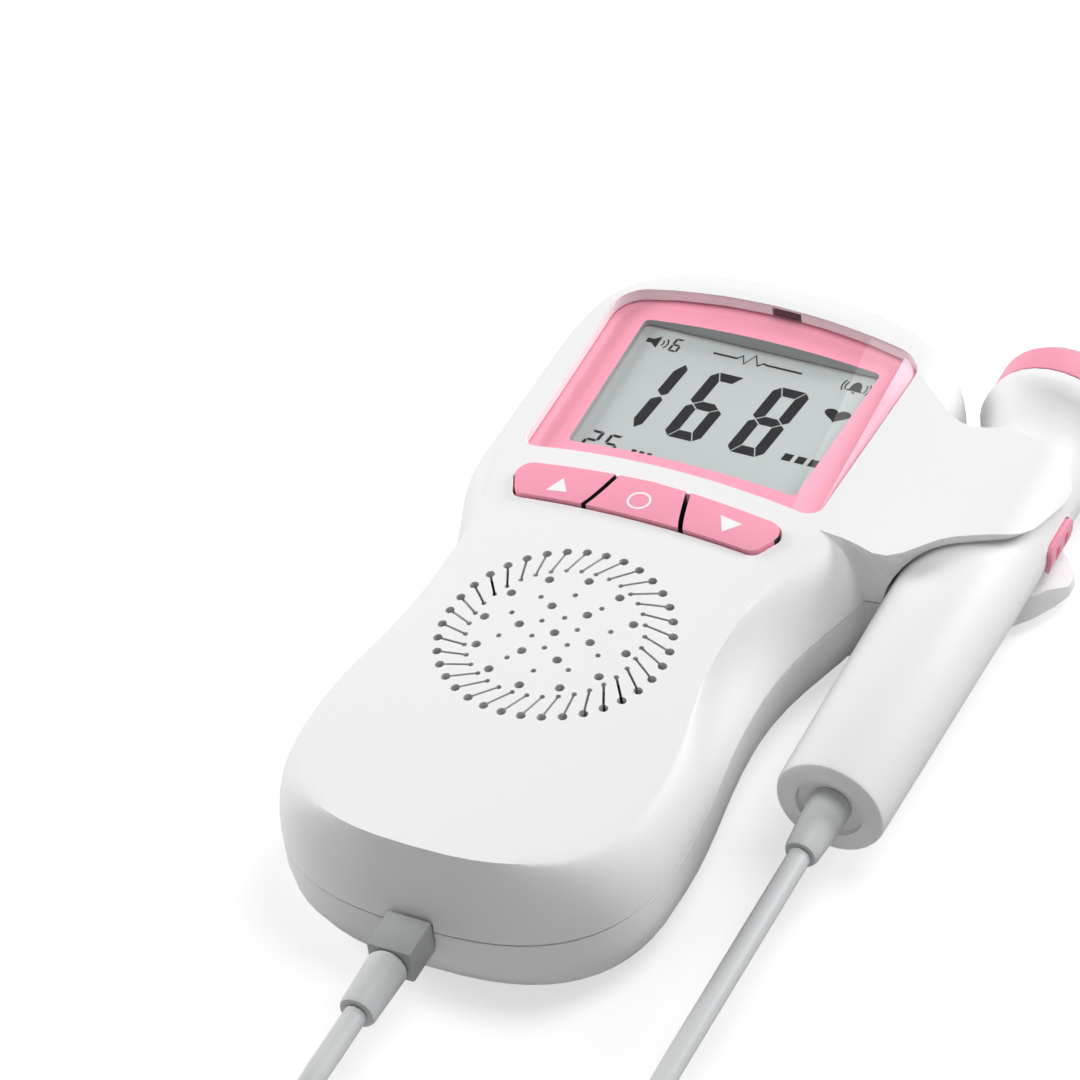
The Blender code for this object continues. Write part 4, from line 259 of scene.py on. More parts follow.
def moulded(name, colour, roughness, shadeColour, grainMm=0.35, grainDepthMm=0.004, cloudMm=28.0,
            swing=(0.04, 0.05)):
    # injection moulding: a fine eroded grain softens highlights, over broad, faint clouds of gloss and tint
    material, tree, shader = newMaterial(name, colour, roughness)
    place = addNode(tree, "ShaderNodeTexCoord")
    grain = addNode(tree, "ShaderNodeTexNoise", values={"Scale": 1000.0 / grainMm, "Detail": 2.0},
                    links={"Vector": (place, "Object")})
    bump = addNode(tree, "ShaderNodeBump", values={"Strength": 1.0, "Distance": grainDepthMm / 1000.0},
                   links={"Height": (grain, "Fac")})
    tree.links.new(bump.outputs["Normal"], shader.inputs["Normal"])
    cloud = addNode(tree, "ShaderNodeTexNoise", values={"Scale": 1000.0 / cloudMm, "Detail": 3.0},
                    links={"Vector": (place, "Object")})
    varyGloss(tree, shader, (cloud, "Fac"), roughness, swing)
    tintBetween(tree, shader, (cloud, "Fac"), colour, shadeColour)
    return material


whiteAbs = moulded("satinWhiteAbs", "F6F6F6", 0.5, "F2F2F2")  # satin shells with soft, wide highlights
pinkAbs = moulded("satinPinkAbs", "FDA6BD", 0.36, "FBA2B9")  # keys and bezel, shinier than the shells
greyPvc = moulded("greySoftPvc", "D4D6D7", 0.4, "CED0D1", grainMm=0.5)  # cable, one long soft highlight
plugPvc = moulded("greyPlugPvc", "ABADAE", 0.4, "A4A6A7", grainMm=0.5)  # plug, darker than its cable
sleeveRubber = moulded("paleSleeveRubber", "D5D7D8", 0.45, "CDCFD0", grainMm=0.5)  # dull sleeves
blackAbsAndGapShade = moulded("blackAbsAndPaintedGapShade", "16171A", 0.4, "1C1D20")  # black parts, and painted shade on the keys' end walls where the gaps between them are
grilleShade = moulded("paintedShadeGrilleWalls", "DBDCDD", 0.6, "D6D7D8")  # painted shade on the walls of the drilled holes, darker than the shell
darkRubber = moulded("darkSilicone", "5F6265", 0.7, "54575A")  # matt key domes
lensPlastic = moulded("greyAcousticPlastic", "D8D6D6", 0.25, "D1CFCF")  # smooth, nearly glossy probe face


def clearAcrylic():
    # a thin polished window: what lies behind it keeps its place, and only its skin mirrors the room
    material, tree, shader = newMaterial("clearCastAcrylic", "FFFFFF", 0.0)
    for socket, value in (("Transmission Weight", 1.0), ("IOR", 1.0), ("Coat Weight", 1.0),
                          ("Coat IOR", 1.49), ("Coat Roughness", 0.01)):
        shader.inputs[socket].default_value = value
    return material


acrylic = clearAcrylic()


def paintedReflectionFade(name, nearColour, farColour, nearY, farY, roughness=0.35):
    # a painted reflection on a satin surface, fading along the window from pink at the keys to pale at the far
    # end
    material, tree, shader = newMaterial(name, farColour, roughness)
    place = addNode(tree, "ShaderNodeTexCoord")
    parts = addNode(tree, "ShaderNodeSeparateXYZ", links={"Vector": (place, "Object")})
    along = addNode(tree, "ShaderNodeMapRange", values={"From Min": nearY, "From Max": farY},
                    links={"Value": (parts, "Y")})
    tintBetween(tree, shader, (along, "Result"), nearColour, farColour)
    return material


def printedFilm(name, colour, roughness, fadeColour, fadeMm=40.0):
    # an even film or print without grain, its tint hardly changing over a few centimetres
    material, tree, shader = newMaterial(name, colour, roughness)
    place = addNode(tree, "ShaderNodeTexCoord")
    cloud = addNode(tree, "ShaderNodeTexNoise", values={"Scale": 1000.0 / fadeMm, "Detail": 1.0},
                    links={"Vector": (place, "Object")})
    tintBetween(tree, shader, (cloud, "Fac"), colour, fadeColour)
    return material


def platedMetal(name, colour, roughness, grainMm=0.3, swing=(0.06, 0.12)):
    # a thin plating over rolled or pressed metal: bright, with gloss that changes from grain to grain
    material, tree, shader = newMaterial(name, colour, roughness, 1.0)
    place = addNode(tree, "ShaderNodeTexCoord")
    grain = addNode(tree, "ShaderNodeTexNoise", values={"Scale": 1000.0 / grainMm, "Detail": 3.0},
                    links={"Vector": (place, "Object")})
    varyGloss(tree, shader, (grain, "Fac"), roughness, swing)
    return material


def wovenCloth(name, colour, roughness=0.95, threadMm=0.5, depthMm=0.125):
    # a plain weave, its half-millimetre threads coarser than real so that they show: matt, finely checked
    material, tree, shader = newMaterial(name, colour, roughness)
    place = addNode(tree, "ShaderNodeTexCoord")
    waves = []
    for axis in ("X", "Y"):
        waves.append(addNode(tree, "ShaderNodeTexWave", values={"Scale": 1000.0 / (threadMm * math.pi)},
                             links={"Vector": (place, "Object")}, bands_direction=axis))
    weave = addNode(tree, "ShaderNodeMath", operation="MULTIPLY",
                    links={0: (waves[0], "Fac"), 1: (waves[1], "Fac")})
    bump = addNode(tree, "ShaderNodeBump", values={"Distance": depthMm / 1000.0},
                   links={"Height": (weave, 0)})
    tree.links.new(bump.outputs["Normal"], shader.inputs["Normal"])
    return material


def solderMask(name, colour, shadeColour, trackColour, roughness=0.35, fieldMm=8.8, trackShare=0.03):
    # green lacquer over a board: glossy, with paler lines where the copper tracks run under it
    material, tree, shader = newMaterial(name, colour, roughness)
    place = addNode(tree, "ShaderNodeTexCoord")
    colours = {"Color1": linearColour(colour), "Color2": linearColour(shadeColour),
               "Mortar": linearColour(trackColour)}
    tracks = addNode(tree, "ShaderNodeTexBrick", links={"Vector": (place, "Object")},
                     values={"Scale": 1000.0 / fieldMm, "Mortar Size": trackShare, **colours})
    tree.links.new(tracks.outputs["Color"], shader.inputs["Base Color"])
    return material


displayFilm = printedFilm("greyGreenDisplayFilm", "BBC2C2", 0.3, "C2C9C8")  # polariser on the display
darkInk = printedFilm("darkDisplayInk", "1D1D20", 0.4, "242428")  # switched segments, nearly black
whiteInk = printedFilm("whiteKeyInk", "FDFDFD", 0.45, "F6F6F7")  # flat screen print
whiteGuide = printedFilm("whiteLightGuide", "F2F2EE", 0.3, "ECECE8")  # milky tray that spreads light
displayOpeningShade = printedFilm("paintedDisplayOpeningShade", "9C9F9F", 0.6, "A2A5A5")  # grey painted shade on the walls of the display's opening
batteryJacket = printedFilm("silverCellJacket", "BFC2C6", 0.3, "B4B8BC")  # shrunk foil sleeve
springSteel = platedMetal("nickelledSpringSteel", "C4C6C8", 0.25)  # bright drawn wire and strip
zincSteel = platedMetal("zincPlatedSteel", "B9BBBD", 0.32)  # greyish turned screws
basketSteel = platedMetal("pressedBasketSteel", "8E9194", 0.4)  # dull pressed sheet
magnetSteel = platedMetal("coatedMagnetSteel", "55585B", 0.45)  # dark, slightly shiny coating
goldPlate = platedMetal("goldPlatedBrass", "C9A54A", 0.25)  # warm bright plug tongue
ceramicDisc = platedMetal("platedCeramic", "C8B27A", 0.3)  # thin yellowish electrode
dustCloth = wovenCloth("greyDustCloth", "4C4E51")
boardMask = solderMask("greenSolderMask", "2B6A43", "27613D", "3C8557")
print("materials made:", len(bpy.data.materials))


# Tools for pieces
meshSettings = {"mergeReach": 0.000002, "flatAngle": 0.6, "uprightShare": 0.5}


def pick(*objects):
    bpy.ops.object.select_all(action="DESELECT")
    for item in objects:
        item.select_set(True)
    bpy.context.view_layer.objects.active = objects[0]


def keepOnly(item, material, body):
    item.data.materials.clear()
    item.data.materials.append(material)
    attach(item, body)
    return item


def roundEdges(item, widthMm, angle=40.0, segments=3):
    step = item.modifiers.new("softEdge", "BEVEL")
    step.width = widthMm / 1000.0
    step.segments = segments
    step.limit_method = "ANGLE"
    step.angle_limit = math.radians(angle)
    pick(item)
    bpy.ops.object.modifier_apply(modifier=step.name)


def mergedCopy(node, name):
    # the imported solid's own form, merged to one surface; its copy is left in edit mode, all selected
    item = bpy.data.objects.new(name, nodes[node].data.copy())
    bpy.context.scene.collection.objects.link(item)
    pick(item)
    bpy.ops.mesh.customdata_custom_splitnormals_clear()
    bpy.ops.object.mode_set(mode="EDIT")
    bpy.ops.mesh.select_all(action="SELECT")
    bpy.ops.mesh.remove_doubles(threshold=meshSettings["mergeReach"])
    bpy.ops.mesh.select_all(action="SELECT")
    return item


def skinOf(node, material, angle=32.0, edgeMm=0.0, flat=False):
    # a finished piece in the node's place, smooth up to its creases, with rounded edges where asked
    item = mergedCopy(node, node + "Skin")
    if flat:
        bpy.ops.mesh.dissolve_limited(angle_limit=math.radians(meshSettings["flatAngle"]))
    bpy.ops.object.mode_set(mode="OBJECT")
    if edgeMm:
        roundEdges(item, edgeMm)
    bpy.ops.object.shade_smooth_by_angle(angle=math.radians(angle))
    keepOnly(item, material, bodyOfNode[node])
    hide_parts(node)
    return item


def shadeWalls(item, material, chosen):
    # a second, darker colour on the upright walls that the test picks: painted shade in holes, openings and
    # gaps
    item.data.materials.append(material)
    for face in item.data.polygons:
        upright = abs(face.normal.z) < meshSettings["uprightShare"]
        if upright and chosen(face.center - grilleCentre, face.normal):
            face.material_index = 1


def evenShading(item):
    # large flat faces lead the shading, so that long thin triangles beside them don't show
    step = item.modifiers.new("evenShading", "WEIGHTED_NORMAL")
    step.mode = "FACE_AREA_WITH_ANGLE"
    step.weight = 50
    step.keep_sharp = True
    pick(item)
    bpy.ops.object.modifier_apply(modifier=step.name)


def finishNode(node, material):
    nodes[node].data.materials.clear()
    nodes[node].data.materials.append(material)


# Shells
shellSettings = {"crease": 40.0, "grilleReach": 0.0183}
# in mm from the grille's centre: the arm's far edge in plan, and the head's side as (across, height)
notchSettings = {
    "farEdge": [(25.0, 82.0), (25.8, 75.4), (26.8, 73.4), (28.3, 71.8), (30.1, 70.4), (32.0, 68.9),
                (33.7, 67.5), (35.0, 66.4), (36.6, 65.7), (38.6, 65.4), (40.6, 65.7), (42.6, 66.4),
                (44.6, 67.2), (47.0, 67.6), (50.0, 82.0)],
    "shoulder": [(15.0, 12.0), (32.92, 12.0), (32.91, 14.35), (32.73, 16.94), (32.07, 19.42), (30.93, 21.69),
                 (29.34, 23.63), (27.45, 25.07), (26.0, 25.8), (24.0, 27.0), (15.0, 32.0)],
    "nearY": 60.0, "farY": 84.0, "bottom": 13.0, "top": 34.0,
    "shoulderY": 74.5, "spreadFrom": 20.0, "spread": 0.0068,  # the shoulder narrows by this share a mm
}


def solidOf(name, corners, placeOf, reach):
    # a plate with these corners, drawn out to a solid along one direction
    bpy.ops.mesh.primitive_circle_add(vertices=len(corners), radius=0.001, fill_type="NGON")
    item = bpy.context.object
    item.name = name
    for vertex, corner in zip(item.data.vertices, corners):
        vertex.co = placeOf(corner)
    bpy.ops.object.mode_set(mode="EDIT")
    bpy.ops.mesh.select_all(action="SELECT")
    bpy.ops.mesh.extrude_region_move(TRANSFORM_OT_translate={"value": reach})
    bpy.ops.mesh.select_all(action="SELECT")
    bpy.ops.mesh.normals_make_consistent(inside=False)
    bpy.ops.object.mode_set(mode="OBJECT")
    return item


def cutWith(item, cutter):
    step = item.modifiers.new("cut", "BOOLEAN")
    step.operation = "DIFFERENCE"
    step.solver = "EXACT"
    step.object = cutter
    pick(item)
    bpy.ops.object.modifier_apply(modifier=step.name)
    bpy.data.objects.remove(cutter)


def cutNotch(shell):
    # the head's rounded shoulder runs on between head and arm, down to the arm's own far edge
    s = notchSettings
    notch = solidOf("notch", s["farEdge"],
                    lambda p: fromGrille(0.001 * p[0], 0.001 * p[1], 0.001 * s["bottom"]),
                    (0.0, 0.0, 0.001 * (s["top"] - s["bottom"])))
    core = solidOf("shoulder", s["shoulder"],
                   lambda p: fromGrille(0.001 * p[0], 0.001 * s["nearY"], 0.001 * p[1]),
                   (0.0, 0.001 * (s["farY"] - s["nearY"]), 0.0))
    for vertex in core.data.vertices:
        fromShoulder = 1000.0 * (vertex.co.y - grilleCentre.y) - s["shoulderY"]
        vertex.co.x -= s["spread"] * fromShoulder * (vertex.co.x - grilleCentre.x - 0.001 * s["spreadFrom"])
    cutWith(notch, core)
    cutWith(shell, notch)


frontSkin = skinOf("front_shell", whiteAbs, angle=shellSettings["crease"])
cutNotch(frontSkin)
bpy.ops.object.shade_smooth_by_angle(angle=math.radians(shellSettings["crease"]))
evenShading(frontSkin)
# the walls of the grille's holes get the darker grey as painted shade
shadeWalls(frontSkin, grilleShade,
           lambda place, normal: math.hypot(place.x, place.y) < shellSettings["grilleReach"])
evenShading(skinOf("back_shell", whiteAbs, angle=shellSettings["crease"]))
skinOf("battery_door", whiteAbs, edgeMm=0.25, flat=True)
print("shells dressed")

# Window
# the pale wedge of painted reflection on the window's right margin
wedgeSettings = {
    "lineLow": (0.0242, 0.0458),  # from the grille's centre, down the frame's right margin
    "lineHigh": (0.0227, 0.0765),
    "inset": 0.0003, "gap": 0.00003, "thick": 0.0002, "crownRadius": 0.1463, "crownRise": 0.0005,
    # colours of the painted reflection, from pink near the keys to pale at the far end
    "nearColour": "FBB9CE", "farColour": "F8EEFA", "farY": 0.0612,
}
paintedWindowReflection = paintedReflectionFade("paintedReflectionOnWindow", wedgeSettings["nearColour"], wedgeSettings["farColour"],
                      wedgeSettings["lineLow"][1], wedgeSettings["farY"])
skinOf("display_lens", acrylic, angle=20.0).visible_shadow = False
glassLow, glassHigh = (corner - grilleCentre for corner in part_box("lcd_glass"))
# the frame's walls around the display opening get the grey as painted shade of the recess
shadeWalls(skinOf("display_frame", pinkAbs, angle=25.0), displayOpeningShade,
           lambda place, normal: glassLow.x < place.x < glassHigh.x and glassLow.y < place.y < glassHigh.y)


def paintedReflectionWedge():
    # a painted reflection beside the pink frame, a pale wedge for the light mirrored in the window's right
    # edge: the window's own outline, cut by one straight line and laid on it
    s = wedgeSettings
    low, high = (fromGrille(*s[end], 0.0) for end in ("lineLow", "lineHigh"))
    outwards = Vector((high.y - low.y, low.x - high.x, 0.0)).normalized()
    item = mergedCopy("display_lens", "windowPaintedReflection")
    bpy.ops.mesh.bisect(plane_co=low, plane_no=outwards, clear_inner=True, use_fill=True)
    bpy.ops.object.mode_set(mode="OBJECT")
    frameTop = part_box("display_frame")[1].z
    lensLow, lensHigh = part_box("display_lens")
    middle = 0.5 * (lensHigh.z + lensLow.z) + s["crownRise"]
    for vertex in item.data.vertices:
        crown = vertex.co.x ** 2 / (2.0 * s["crownRadius"])
        lift = s["thick"] if vertex.co.z + crown > middle else s["gap"]
        vertex.co.z = frameTop - crown + lift
        vertex.co -= s["inset"] * outwards * min(1.0, (vertex.co - low).dot(outwards) / s["inset"])
    keepOnly(item, paintedWindowReflection, "body")


paintedReflectionWedge()
skinOf("window_slot_insert", blackAbsAndGapShade, edgeMm=0.1, flat=True)
finishNode("lcd_glass", displayFilm)
finishNode("lcd_light_tray", whiteGuide)

# Keys, their end walls painted black: painted shade in the deep gaps between them
keySettings = {"edgeMm": 0.3, "endRatio": 2.2}
for keyNode in ("up_key", "ok_key", "down_key"):
    shadeWalls(skinOf(keyNode, pinkAbs, edgeMm=keySettings["edgeMm"], flat=True), blackAbsAndGapShade,
               lambda place, normal: abs(normal.x) > keySettings["endRatio"] * abs(normal.y))

# Probe: each piece's finish and soft edge in mm
probeSettings = {
    "probe_handle": (whiteAbs, 0.0), "probe_band": (pinkAbs, 0.15), "probe_face": (lensPlastic, 0.0),
    "probe_pad": (pinkAbs, 0.2), "probe_relief": (sleeveRubber, 0.0),
}
for probeNode, (probeFinish, softEdge) in probeSettings.items():
    skinOf(probeNode, probeFinish, edgeMm=softEdge, flat=softEdge > 0.0)

# Plug
skinOf("plug_body", plugPvc)
skinOf("plug_relief", sleeveRubber)
skinOf("plug_tongue", goldPlate, flat=True)

# Inside
insideFinish = {
    "speaker_cloth": dustCloth, "speaker_frame": basketSteel, "speaker_cone": darkRubber,
    "speaker_magnet": magnetSteel, "main_board": boardMask, "probe_board": boardMask,
    "transducer_disc": ceramicDisc, "damping_block": darkRubber, "lead_socket": blackAbsAndGapShade,
    "battery_1": batteryJacket, "battery_2": batteryJacket, "battery_plate_1": springSteel,
    "battery_plate_2": springSteel, "battery_spring_1": springSteel, "battery_spring_2": springSteel,
    "up_dome": darkRubber, "ok_dome": darkRubber, "down_dome": darkRubber,
}
for number in range(1, 6):
    insideFinish["board_chip_" + str(number)] = blackAbsAndGapShade
for number in range(1, 5):
    insideFinish["board_screw_" + str(number)] = zincSteel
    insideFinish["case_screw_" + str(number)] = zincSteel
for insideNode, insideMaterial in insideFinish.items():
    finishNode(insideNode, insideMaterial)
for keyName in ("up", "ok", "down"):
    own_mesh(nodes[keyName + "_dome"])
print("inner pieces finished:", len(insideFinish))

# Signs: printed plates a few hundredths of a millimetre thick, outlined in mm from the grille's centre
signSettings = {"inkMm": 0.03, "keyProud": 0.00065, "crownRadius": 0.1463, "faceZ": 0.028}
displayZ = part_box("lcd_glass")[1].z


def onDisplay(x):
    return displayZ


def onKeys(x):
    return signSettings["faceZ"] + signSettings["keyProud"] - x * x / (2.0 * signSettings["crownRadius"])


def printedSign(name, outlines, heightAt, material, body):
    plates = []
    for outline in outlines:
        bpy.ops.mesh.primitive_circle_add(vertices=len(outline), radius=0.001, fill_type="NGON")
        plate = bpy.context.object
        for vertex, (x, y) in zip(plate.data.vertices, outline):
            vertex.co = fromGrille(0.001 * x, 0.001 * y, heightAt(0.001 * x))
        plates.append(plate)
    pick(*plates)
    if len(plates) > 1:
        bpy.ops.object.join()
    item = bpy.context.view_layer.objects.active
    item.name = name
    bpy.ops.object.mode_set(mode="EDIT")
    bpy.ops.mesh.select_all(action="SELECT")
    bpy.ops.mesh.normals_make_consistent(inside=False)
    bpy.ops.object.mode_set(mode="OBJECT")
    ink = item.modifiers.new("inkDepth", "SOLIDIFY")
    ink.thickness = 0.001 * signSettings["inkMm"]
    ink.offset = 0.0
    bpy.ops.object.modifier_apply(modifier=ink.name)
    return keepOnly(item, material, body)


def arcBand(x, y, radius, stroke, start, end, steps=12):
    turns = [math.radians(start + (end - start) * k / steps) for k in range(steps + 1)]
    outer, inner = ([(x + reach * math.cos(t), y + reach * math.sin(t)) for t in turns]
                    for reach in (radius + 0.5 * stroke, radius - 0.5 * stroke))
    return outer + inner[::-1]


def block(x, y, width, height, lean):
    return [(x - 0.5 * width - lean, y - 0.5 * height), (x + 0.5 * width - lean, y - 0.5 * height),
            (x + 0.5 * width + lean, y + 0.5 * height), (x - 0.5 * width + lean, y + 0.5 * height)]


# seven segments of a digit in a unit cell: across 0 to 1, up 0 to 1, with mitred ends and cut corners
def segmentOutlines(strokeX, strokeY, gapX, gapY, cutX, cutY):
    top = [(cutX, 1.0), (1.0 - cutX, 1.0), (1.0 - strokeX - gapX, 1.0 - strokeY),
           (strokeX + gapX, 1.0 - strokeY)]
    upper = [(1.0 - cutX + gapX, 1.0 - gapY), (1.0, 1.0 - cutY), (1.0, 0.5 + 0.4 * strokeY),
             (1.0 - 0.4 * strokeX, 0.5 + gapY), (1.0 - strokeX, 0.5 + 0.5 * strokeY + gapY),
             (1.0 - strokeX, 1.0 - strokeY - gapY)]
    bar = [(strokeX + gapX, 0.5 + 0.5 * strokeY), (1.0 - strokeX - gapX, 0.5 + 0.5 * strokeY),
           (1.0 - 0.5 * strokeX, 0.5), (1.0 - strokeX - gapX, 0.5 - 0.5 * strokeY),
           (strokeX + gapX, 0.5 - 0.5 * strokeY), (0.5 * strokeX, 0.5)]

    def mirrored(outline, across, up):
        return [(1.0 - u if across else u, 1.0 - v if up else v) for u, v in outline]

    return {"a": top, "b": upper, "c": mirrored(upper, False, True), "d": mirrored(top, False, True),
            "e": mirrored(upper, True, True), "f": mirrored(upper, True, False), "g": bar}


segmentsOfDigit = {"1": "bc", "2": "abged", "5": "afgcd", "6": "afgedc", "8": "abcdefg"}


def digitOutlines(digit, left, low, width, height, lean, stroke, gap, cutX=0.55, cutY=0.6):
    shapes = segmentOutlines(stroke / width, stroke / height, gap / width, gap / height,
                             cutX * stroke / width, cutY * stroke / height)
    return [[(left + u * width + v * lean, low + v * height) for u, v in shapes[segment]]
            for segment in segmentsOfDigit[digit]]


# what the display shows: groups of digits with their left edges and shared size, then the small pictures
displaySettings = {
    "digits": [
        ({"1": -16.85, "6": -6.8, "8": 3.85},
         {"low": 49.85, "width": 6.1, "height": 16.15, "lean": 1.5, "stroke": 1.9, "gap": 0.13}),
        ({"2": -17.9, "5": -14.6},
         {"low": 42.9, "width": 2.3, "height": 4.5, "lean": 0.45, "stroke": 0.55, "gap": 0.08}),
        ({"6": -14.5}, {"low": 68.0, "width": 1.6, "height": 3.2, "lean": 0.3, "stroke": 0.4, "gap": 0.06}),
    ],
    "speaker": [(-18.6, 68.9), (-17.6, 68.9), (-16.5, 68.0), (-16.5, 70.8), (-17.6, 69.9), (-18.6, 69.9)],
    "sound": {"centre": (-16.6, 69.4), "radii": (0.9, 1.6), "stroke": 0.25, "reach": 42.0},
    "blocks": [((13.8, 16.0, 18.2), {"y": 51.5, "width": 1.5}),
               ((-9.2, -7.9, -6.6), {"y": 44.5, "width": 0.8})],
    "blockShape": {"height": 1.6, "lean": 0.08},
    "pulse": [(-7.3, 69.7), (-3.2, 69.7), (-2.5, 70.6), (-1.7, 68.8), (-0.6, 71.3), (0.5, 69.1), (1.3, 69.9),
              (1.9, 69.7), (7.9, 69.7)],
    "pulseStroke": 0.42,
    "bell": [(-1.35, -0.95), (1.35, -0.95), (0.95, -0.45), (0.85, 0.45), (0.5, 1.05), (0.0, 1.3),
             (-0.5, 1.05), (-0.85, 0.45), (-0.95, -0.45)],
    "bellCentre": (17.2, 69.7),
    "clapper": {"x": 17.2, "y": 68.55, "radius": 0.16, "stroke": 0.32, "start": 180.0, "end": 360.0,
                "steps": 8},
    "ringing": {"centre": (17.2, 69.7), "radii": (1.75, 2.3), "stroke": 0.22, "reach": 32.0},
    "heart": {"x": 17.0, "y": 62.8, "width": 2.2, "height": 0.105, "steps": 36},
}


def soundArcs(centre, radii, stroke, reach, middle=0.0):
    return [arcBand(*centre, radius, stroke, middle - reach, middle + reach) for radius in radii]


def heartOutline(x, y, width, height, steps):
    turns = [math.radians(360.0 * k / steps) for k in range(steps)]
    return [(x + width * math.sin(t) ** 3,
             y + height * (13.0 * math.cos(t) - 5.0 * math.cos(2.0 * t) - 2.0 * math.cos(3.0 * t)
                           - math.cos(4.0 * t))) for t in turns]


def displayOutlines():
    s = displaySettings
    signs = []
    for group, size in s["digits"]:
        for digit, left in group.items():
            signs += digitOutlines(digit, left, **size)
    signs += [s["speaker"]] + soundArcs(**s["sound"])
    for places, shape in s["blocks"]:
        signs += [block(x, **shape, **s["blockShape"]) for x in places]
    signs.append(s["pulse"] + [(x, y + s["pulseStroke"]) for x, y in reversed(s["pulse"])])
    signs.append([(s["bellCentre"][0] + x, s["bellCentre"][1] + y) for x, y in s["bell"]])
    signs.append(arcBand(**s["clapper"]))
    for middle in (0.0, 180.0):
        signs += soundArcs(**s["ringing"], middle=middle)
    signs.append(heartOutline(**s["heart"]))
    return signs


displaySigns = displayOutlines()
printedSign("displaySigns", displaySigns, onDisplay, darkInk, "body")


def turnedTriangle(x, y, half, height, degrees, way, footShare=0.45):
    turn = math.radians(degrees)
    foot, tip = -footShare * height * way, (1.0 - footShare) * height * way
    corners = [(-half, foot), (half, foot), (0.0, tip)]
    return [[(x + a * math.cos(turn) - b * math.sin(turn), y + a * math.sin(turn) + b * math.cos(turn))
             for a, b in corners]]


keySignSettings = {
    "up": {"x": -13.6, "y": 29.3, "half": 1.7, "height": 3.0, "degrees": 5.0, "way": 1.0},
    "down": {"x": 14.2, "y": 29.8, "half": 1.9, "height": 2.9, "degrees": -6.0, "way": -1.0},
    "ring": {"x": -0.3, "y": 29.6, "radius": 1.7, "stroke": 0.36, "steps": 24},
    "ringHalf": 180.5,  # two halves that just overlap
}
ringSign = [arcBand(start=start, end=start + keySignSettings["ringHalf"], **keySignSettings["ring"])
            for start in (0.0, 180.0)]
for signName, outlines, keyBody in (("upSign", turnedTriangle(**keySignSettings["up"]), "up_key"),
                                    ("ringSign", ringSign, "ok_key"),
                                    ("downSign", turnedTriangle(**keySignSettings["down"]), "down_key")):
    printedSign(signName, outlines, onKeys, whiteInk, keyBody)
print("signs printed")

# Lead: three lengths of one cable, its points those of the frame's own route, from the grille's centre
leadSettings = {
    "radius": 0.00175, "coilY": -0.108, "coilRadius": 0.0244, "pitch": 0.00395, "turns": 6.5,
    "climbTurns": 0.5, "baseZ": 0.0018, "runGap": 0.04585, "stepsPerTurn": 48, "crease": 50.0,
    "overlap": 0.0005, "sleeveStep": 0.00001,  # each run ends just inside the coil's own jacket
    "plugEnd": (0.0, -0.0669, 0.0139), "plugStraight": 0.007, "plugLead": 0.0033,
    "plugBends": [(-0.0001, -0.0805, 0.01365), (-0.0004, -0.0865, 0.0112), (-0.0009, -0.093, 0.0064),
                  (-0.0013, -0.0985, 0.0029)],
    "probeEnd": (0.04585, -0.0166, 0.0135), "probeStraight": 0.009, "probeLead": 0.0039,
    "probeBends": [(0.04585, -0.045, 0.0135), (0.04585, -0.062, 0.0134), (0.0459, -0.075, 0.0125),
                   (0.0465, -0.0865, 0.0096), (0.0471, -0.0955, 0.0068)],
}


def smoothStep(share):
    held = min(max(share, 0.0), 1.0)
    return 0.5 - 0.5 * math.cos(math.pi * held)


def coilPoints():
    # two flat layers: inwards on the table, half a turn of climb, and outwards on top
    s = leadSettings
    half = 0.5 * s["turns"]
    points = []
    count = int(s["turns"] * s["stepsPerTurn"])
    for k in range(count + 1):
        turns = s["turns"] * k / count
        radius = s["coilRadius"] - s["pitch"] * (half - abs(turns - half))
        rise = s["pitch"] * smoothStep((turns - half + 0.5 * s["climbTurns"]) / s["climbTurns"])
        angle = math.pi + 2.0 * math.pi * turns
        points.append(fromGrille(0.5 * s["runGap"] + radius * math.cos(angle),
                                 s["coilY"] + radius * math.sin(angle), s["baseZ"] + rise))
    leadIn = Vector((0.0, 2.0 * s["radius"], 0.0))
    return [points[0] + leadIn] + points + [points[-1] + leadIn]


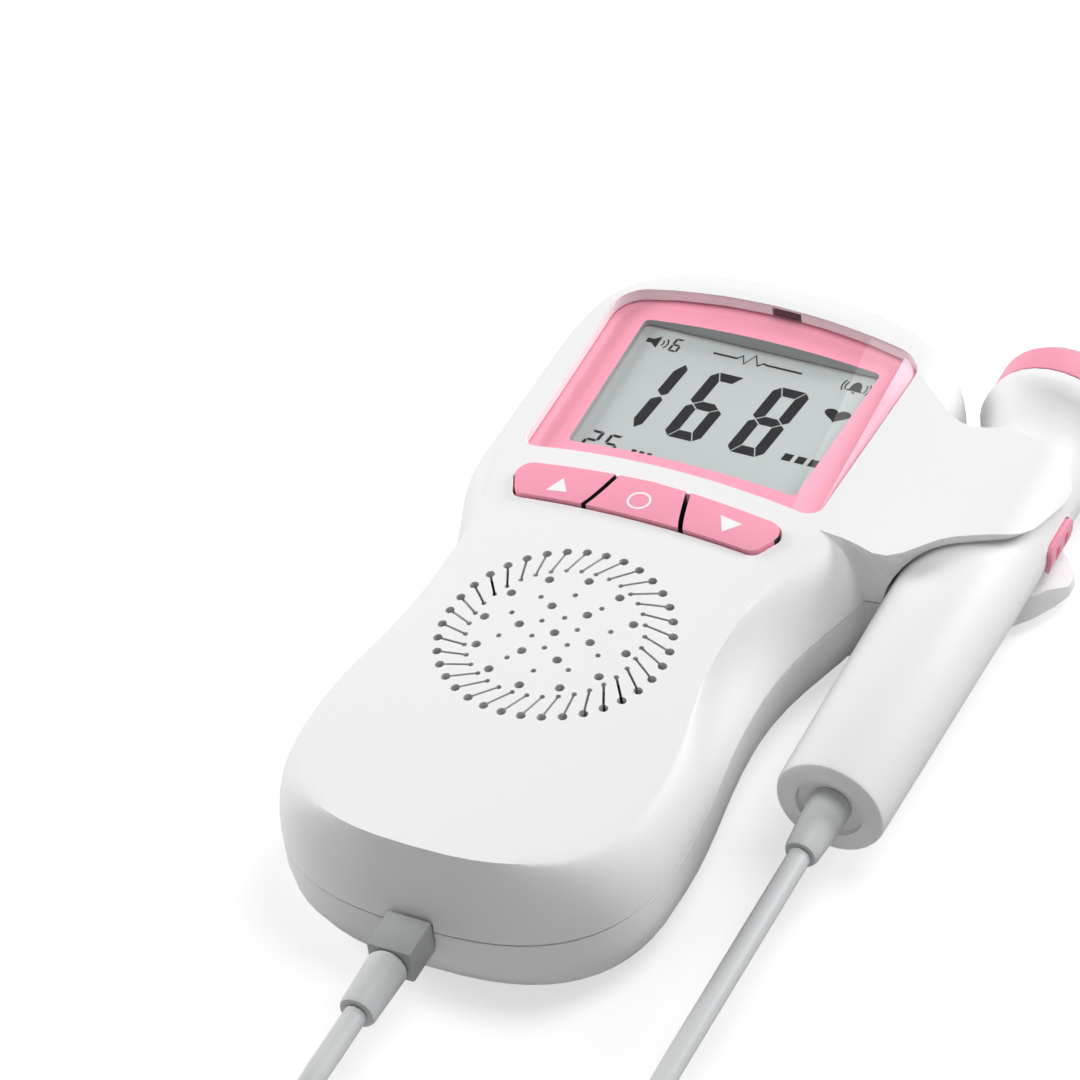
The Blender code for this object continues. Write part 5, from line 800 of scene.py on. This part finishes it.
def curveThrough(route, parts=6):
    knots = [Vector(point) for point in route]
    padded = [2.0 * knots[0] - knots[1]] + knots + [2.0 * knots[-1] - knots[-2]]
    points = []
    for i in range(1, len(padded) - 2):
        a, b, c, d = padded[i - 1:i + 3]
        for k in range(parts):
            t = k / parts
            points.append(0.5 * (2.0 * b + (c - a) * t + (2.0 * a - 5.0 * b + 4.0 * c - d) * t * t
                                 + (3.0 * b - a - 3.0 * c + d) * t ** 3))
    points.append(knots[-1])
    return points


def tubeAlong(name, points, radius, material):
    data = bpy.data.curves.new(name, "CURVE")
    data.dimensions = "3D"
    data.bevel_depth = radius
    data.bevel_resolution = 4
    data.use_fill_caps = True
    spline = data.splines.new("POLY")
    spline.points.add(len(points) - 1)
    for knot, point in zip(spline.points, points):
        knot.co = (point.x, point.y, point.z, 1.0)
    item = bpy.data.objects.new(name, data)
    bpy.context.scene.collection.objects.link(item)
    pick(item)
    bpy.ops.object.convert(target="MESH")
    bpy.ops.object.shade_smooth_by_angle(angle=math.radians(leadSettings["crease"]))
    item.data.materials.clear()
    item.data.materials.append(material)
    return item


def runPoints(kind, coilEnd):
    # straight out of its sleeve, over its bends and straight into the coil's own end
    s = leadSettings
    towardsCoil = Vector((0.0, -1.0, 0.0))
    start = fromGrille(*s[kind + "End"])
    bends = [fromGrille(*bend) for bend in s[kind + "Bends"]]
    return curveThrough([start, start + s[kind + "Straight"] * towardsCoil] + bends
                        + [coilEnd - s[kind + "Lead"] * towardsCoil, coilEnd + s["overlap"] * towardsCoil])


def lengthOf(points):
    return sum((b - a).length for a, b in zip(points, points[1:]))


coil = coilPoints()
runRadius = leadSettings["radius"] - leadSettings["sleeveStep"]
coilPiece = tubeAlong("leadCoilCable", coil, leadSettings["radius"], greyPvc)
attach(coilPiece, "body")
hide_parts("lead_coil")
unitPoints = runPoints("plug", coil[0])
unitPiece = tubeAlong("leadUnitCable", unitPoints, runRadius, greyPvc)
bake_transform(unitPiece)
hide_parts("lead_unit_run")
probePoints = runPoints("probe", coil[-1])
probePiece = tubeAlong("leadProbeCable", probePoints, runRadius, greyPvc)
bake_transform(probePiece)
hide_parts("lead_probe_run")
print("lead laid, mm:", round(1000.0 * (lengthOf(unitPoints) + lengthOf(coil) + lengthOf(probePoints)), 1))
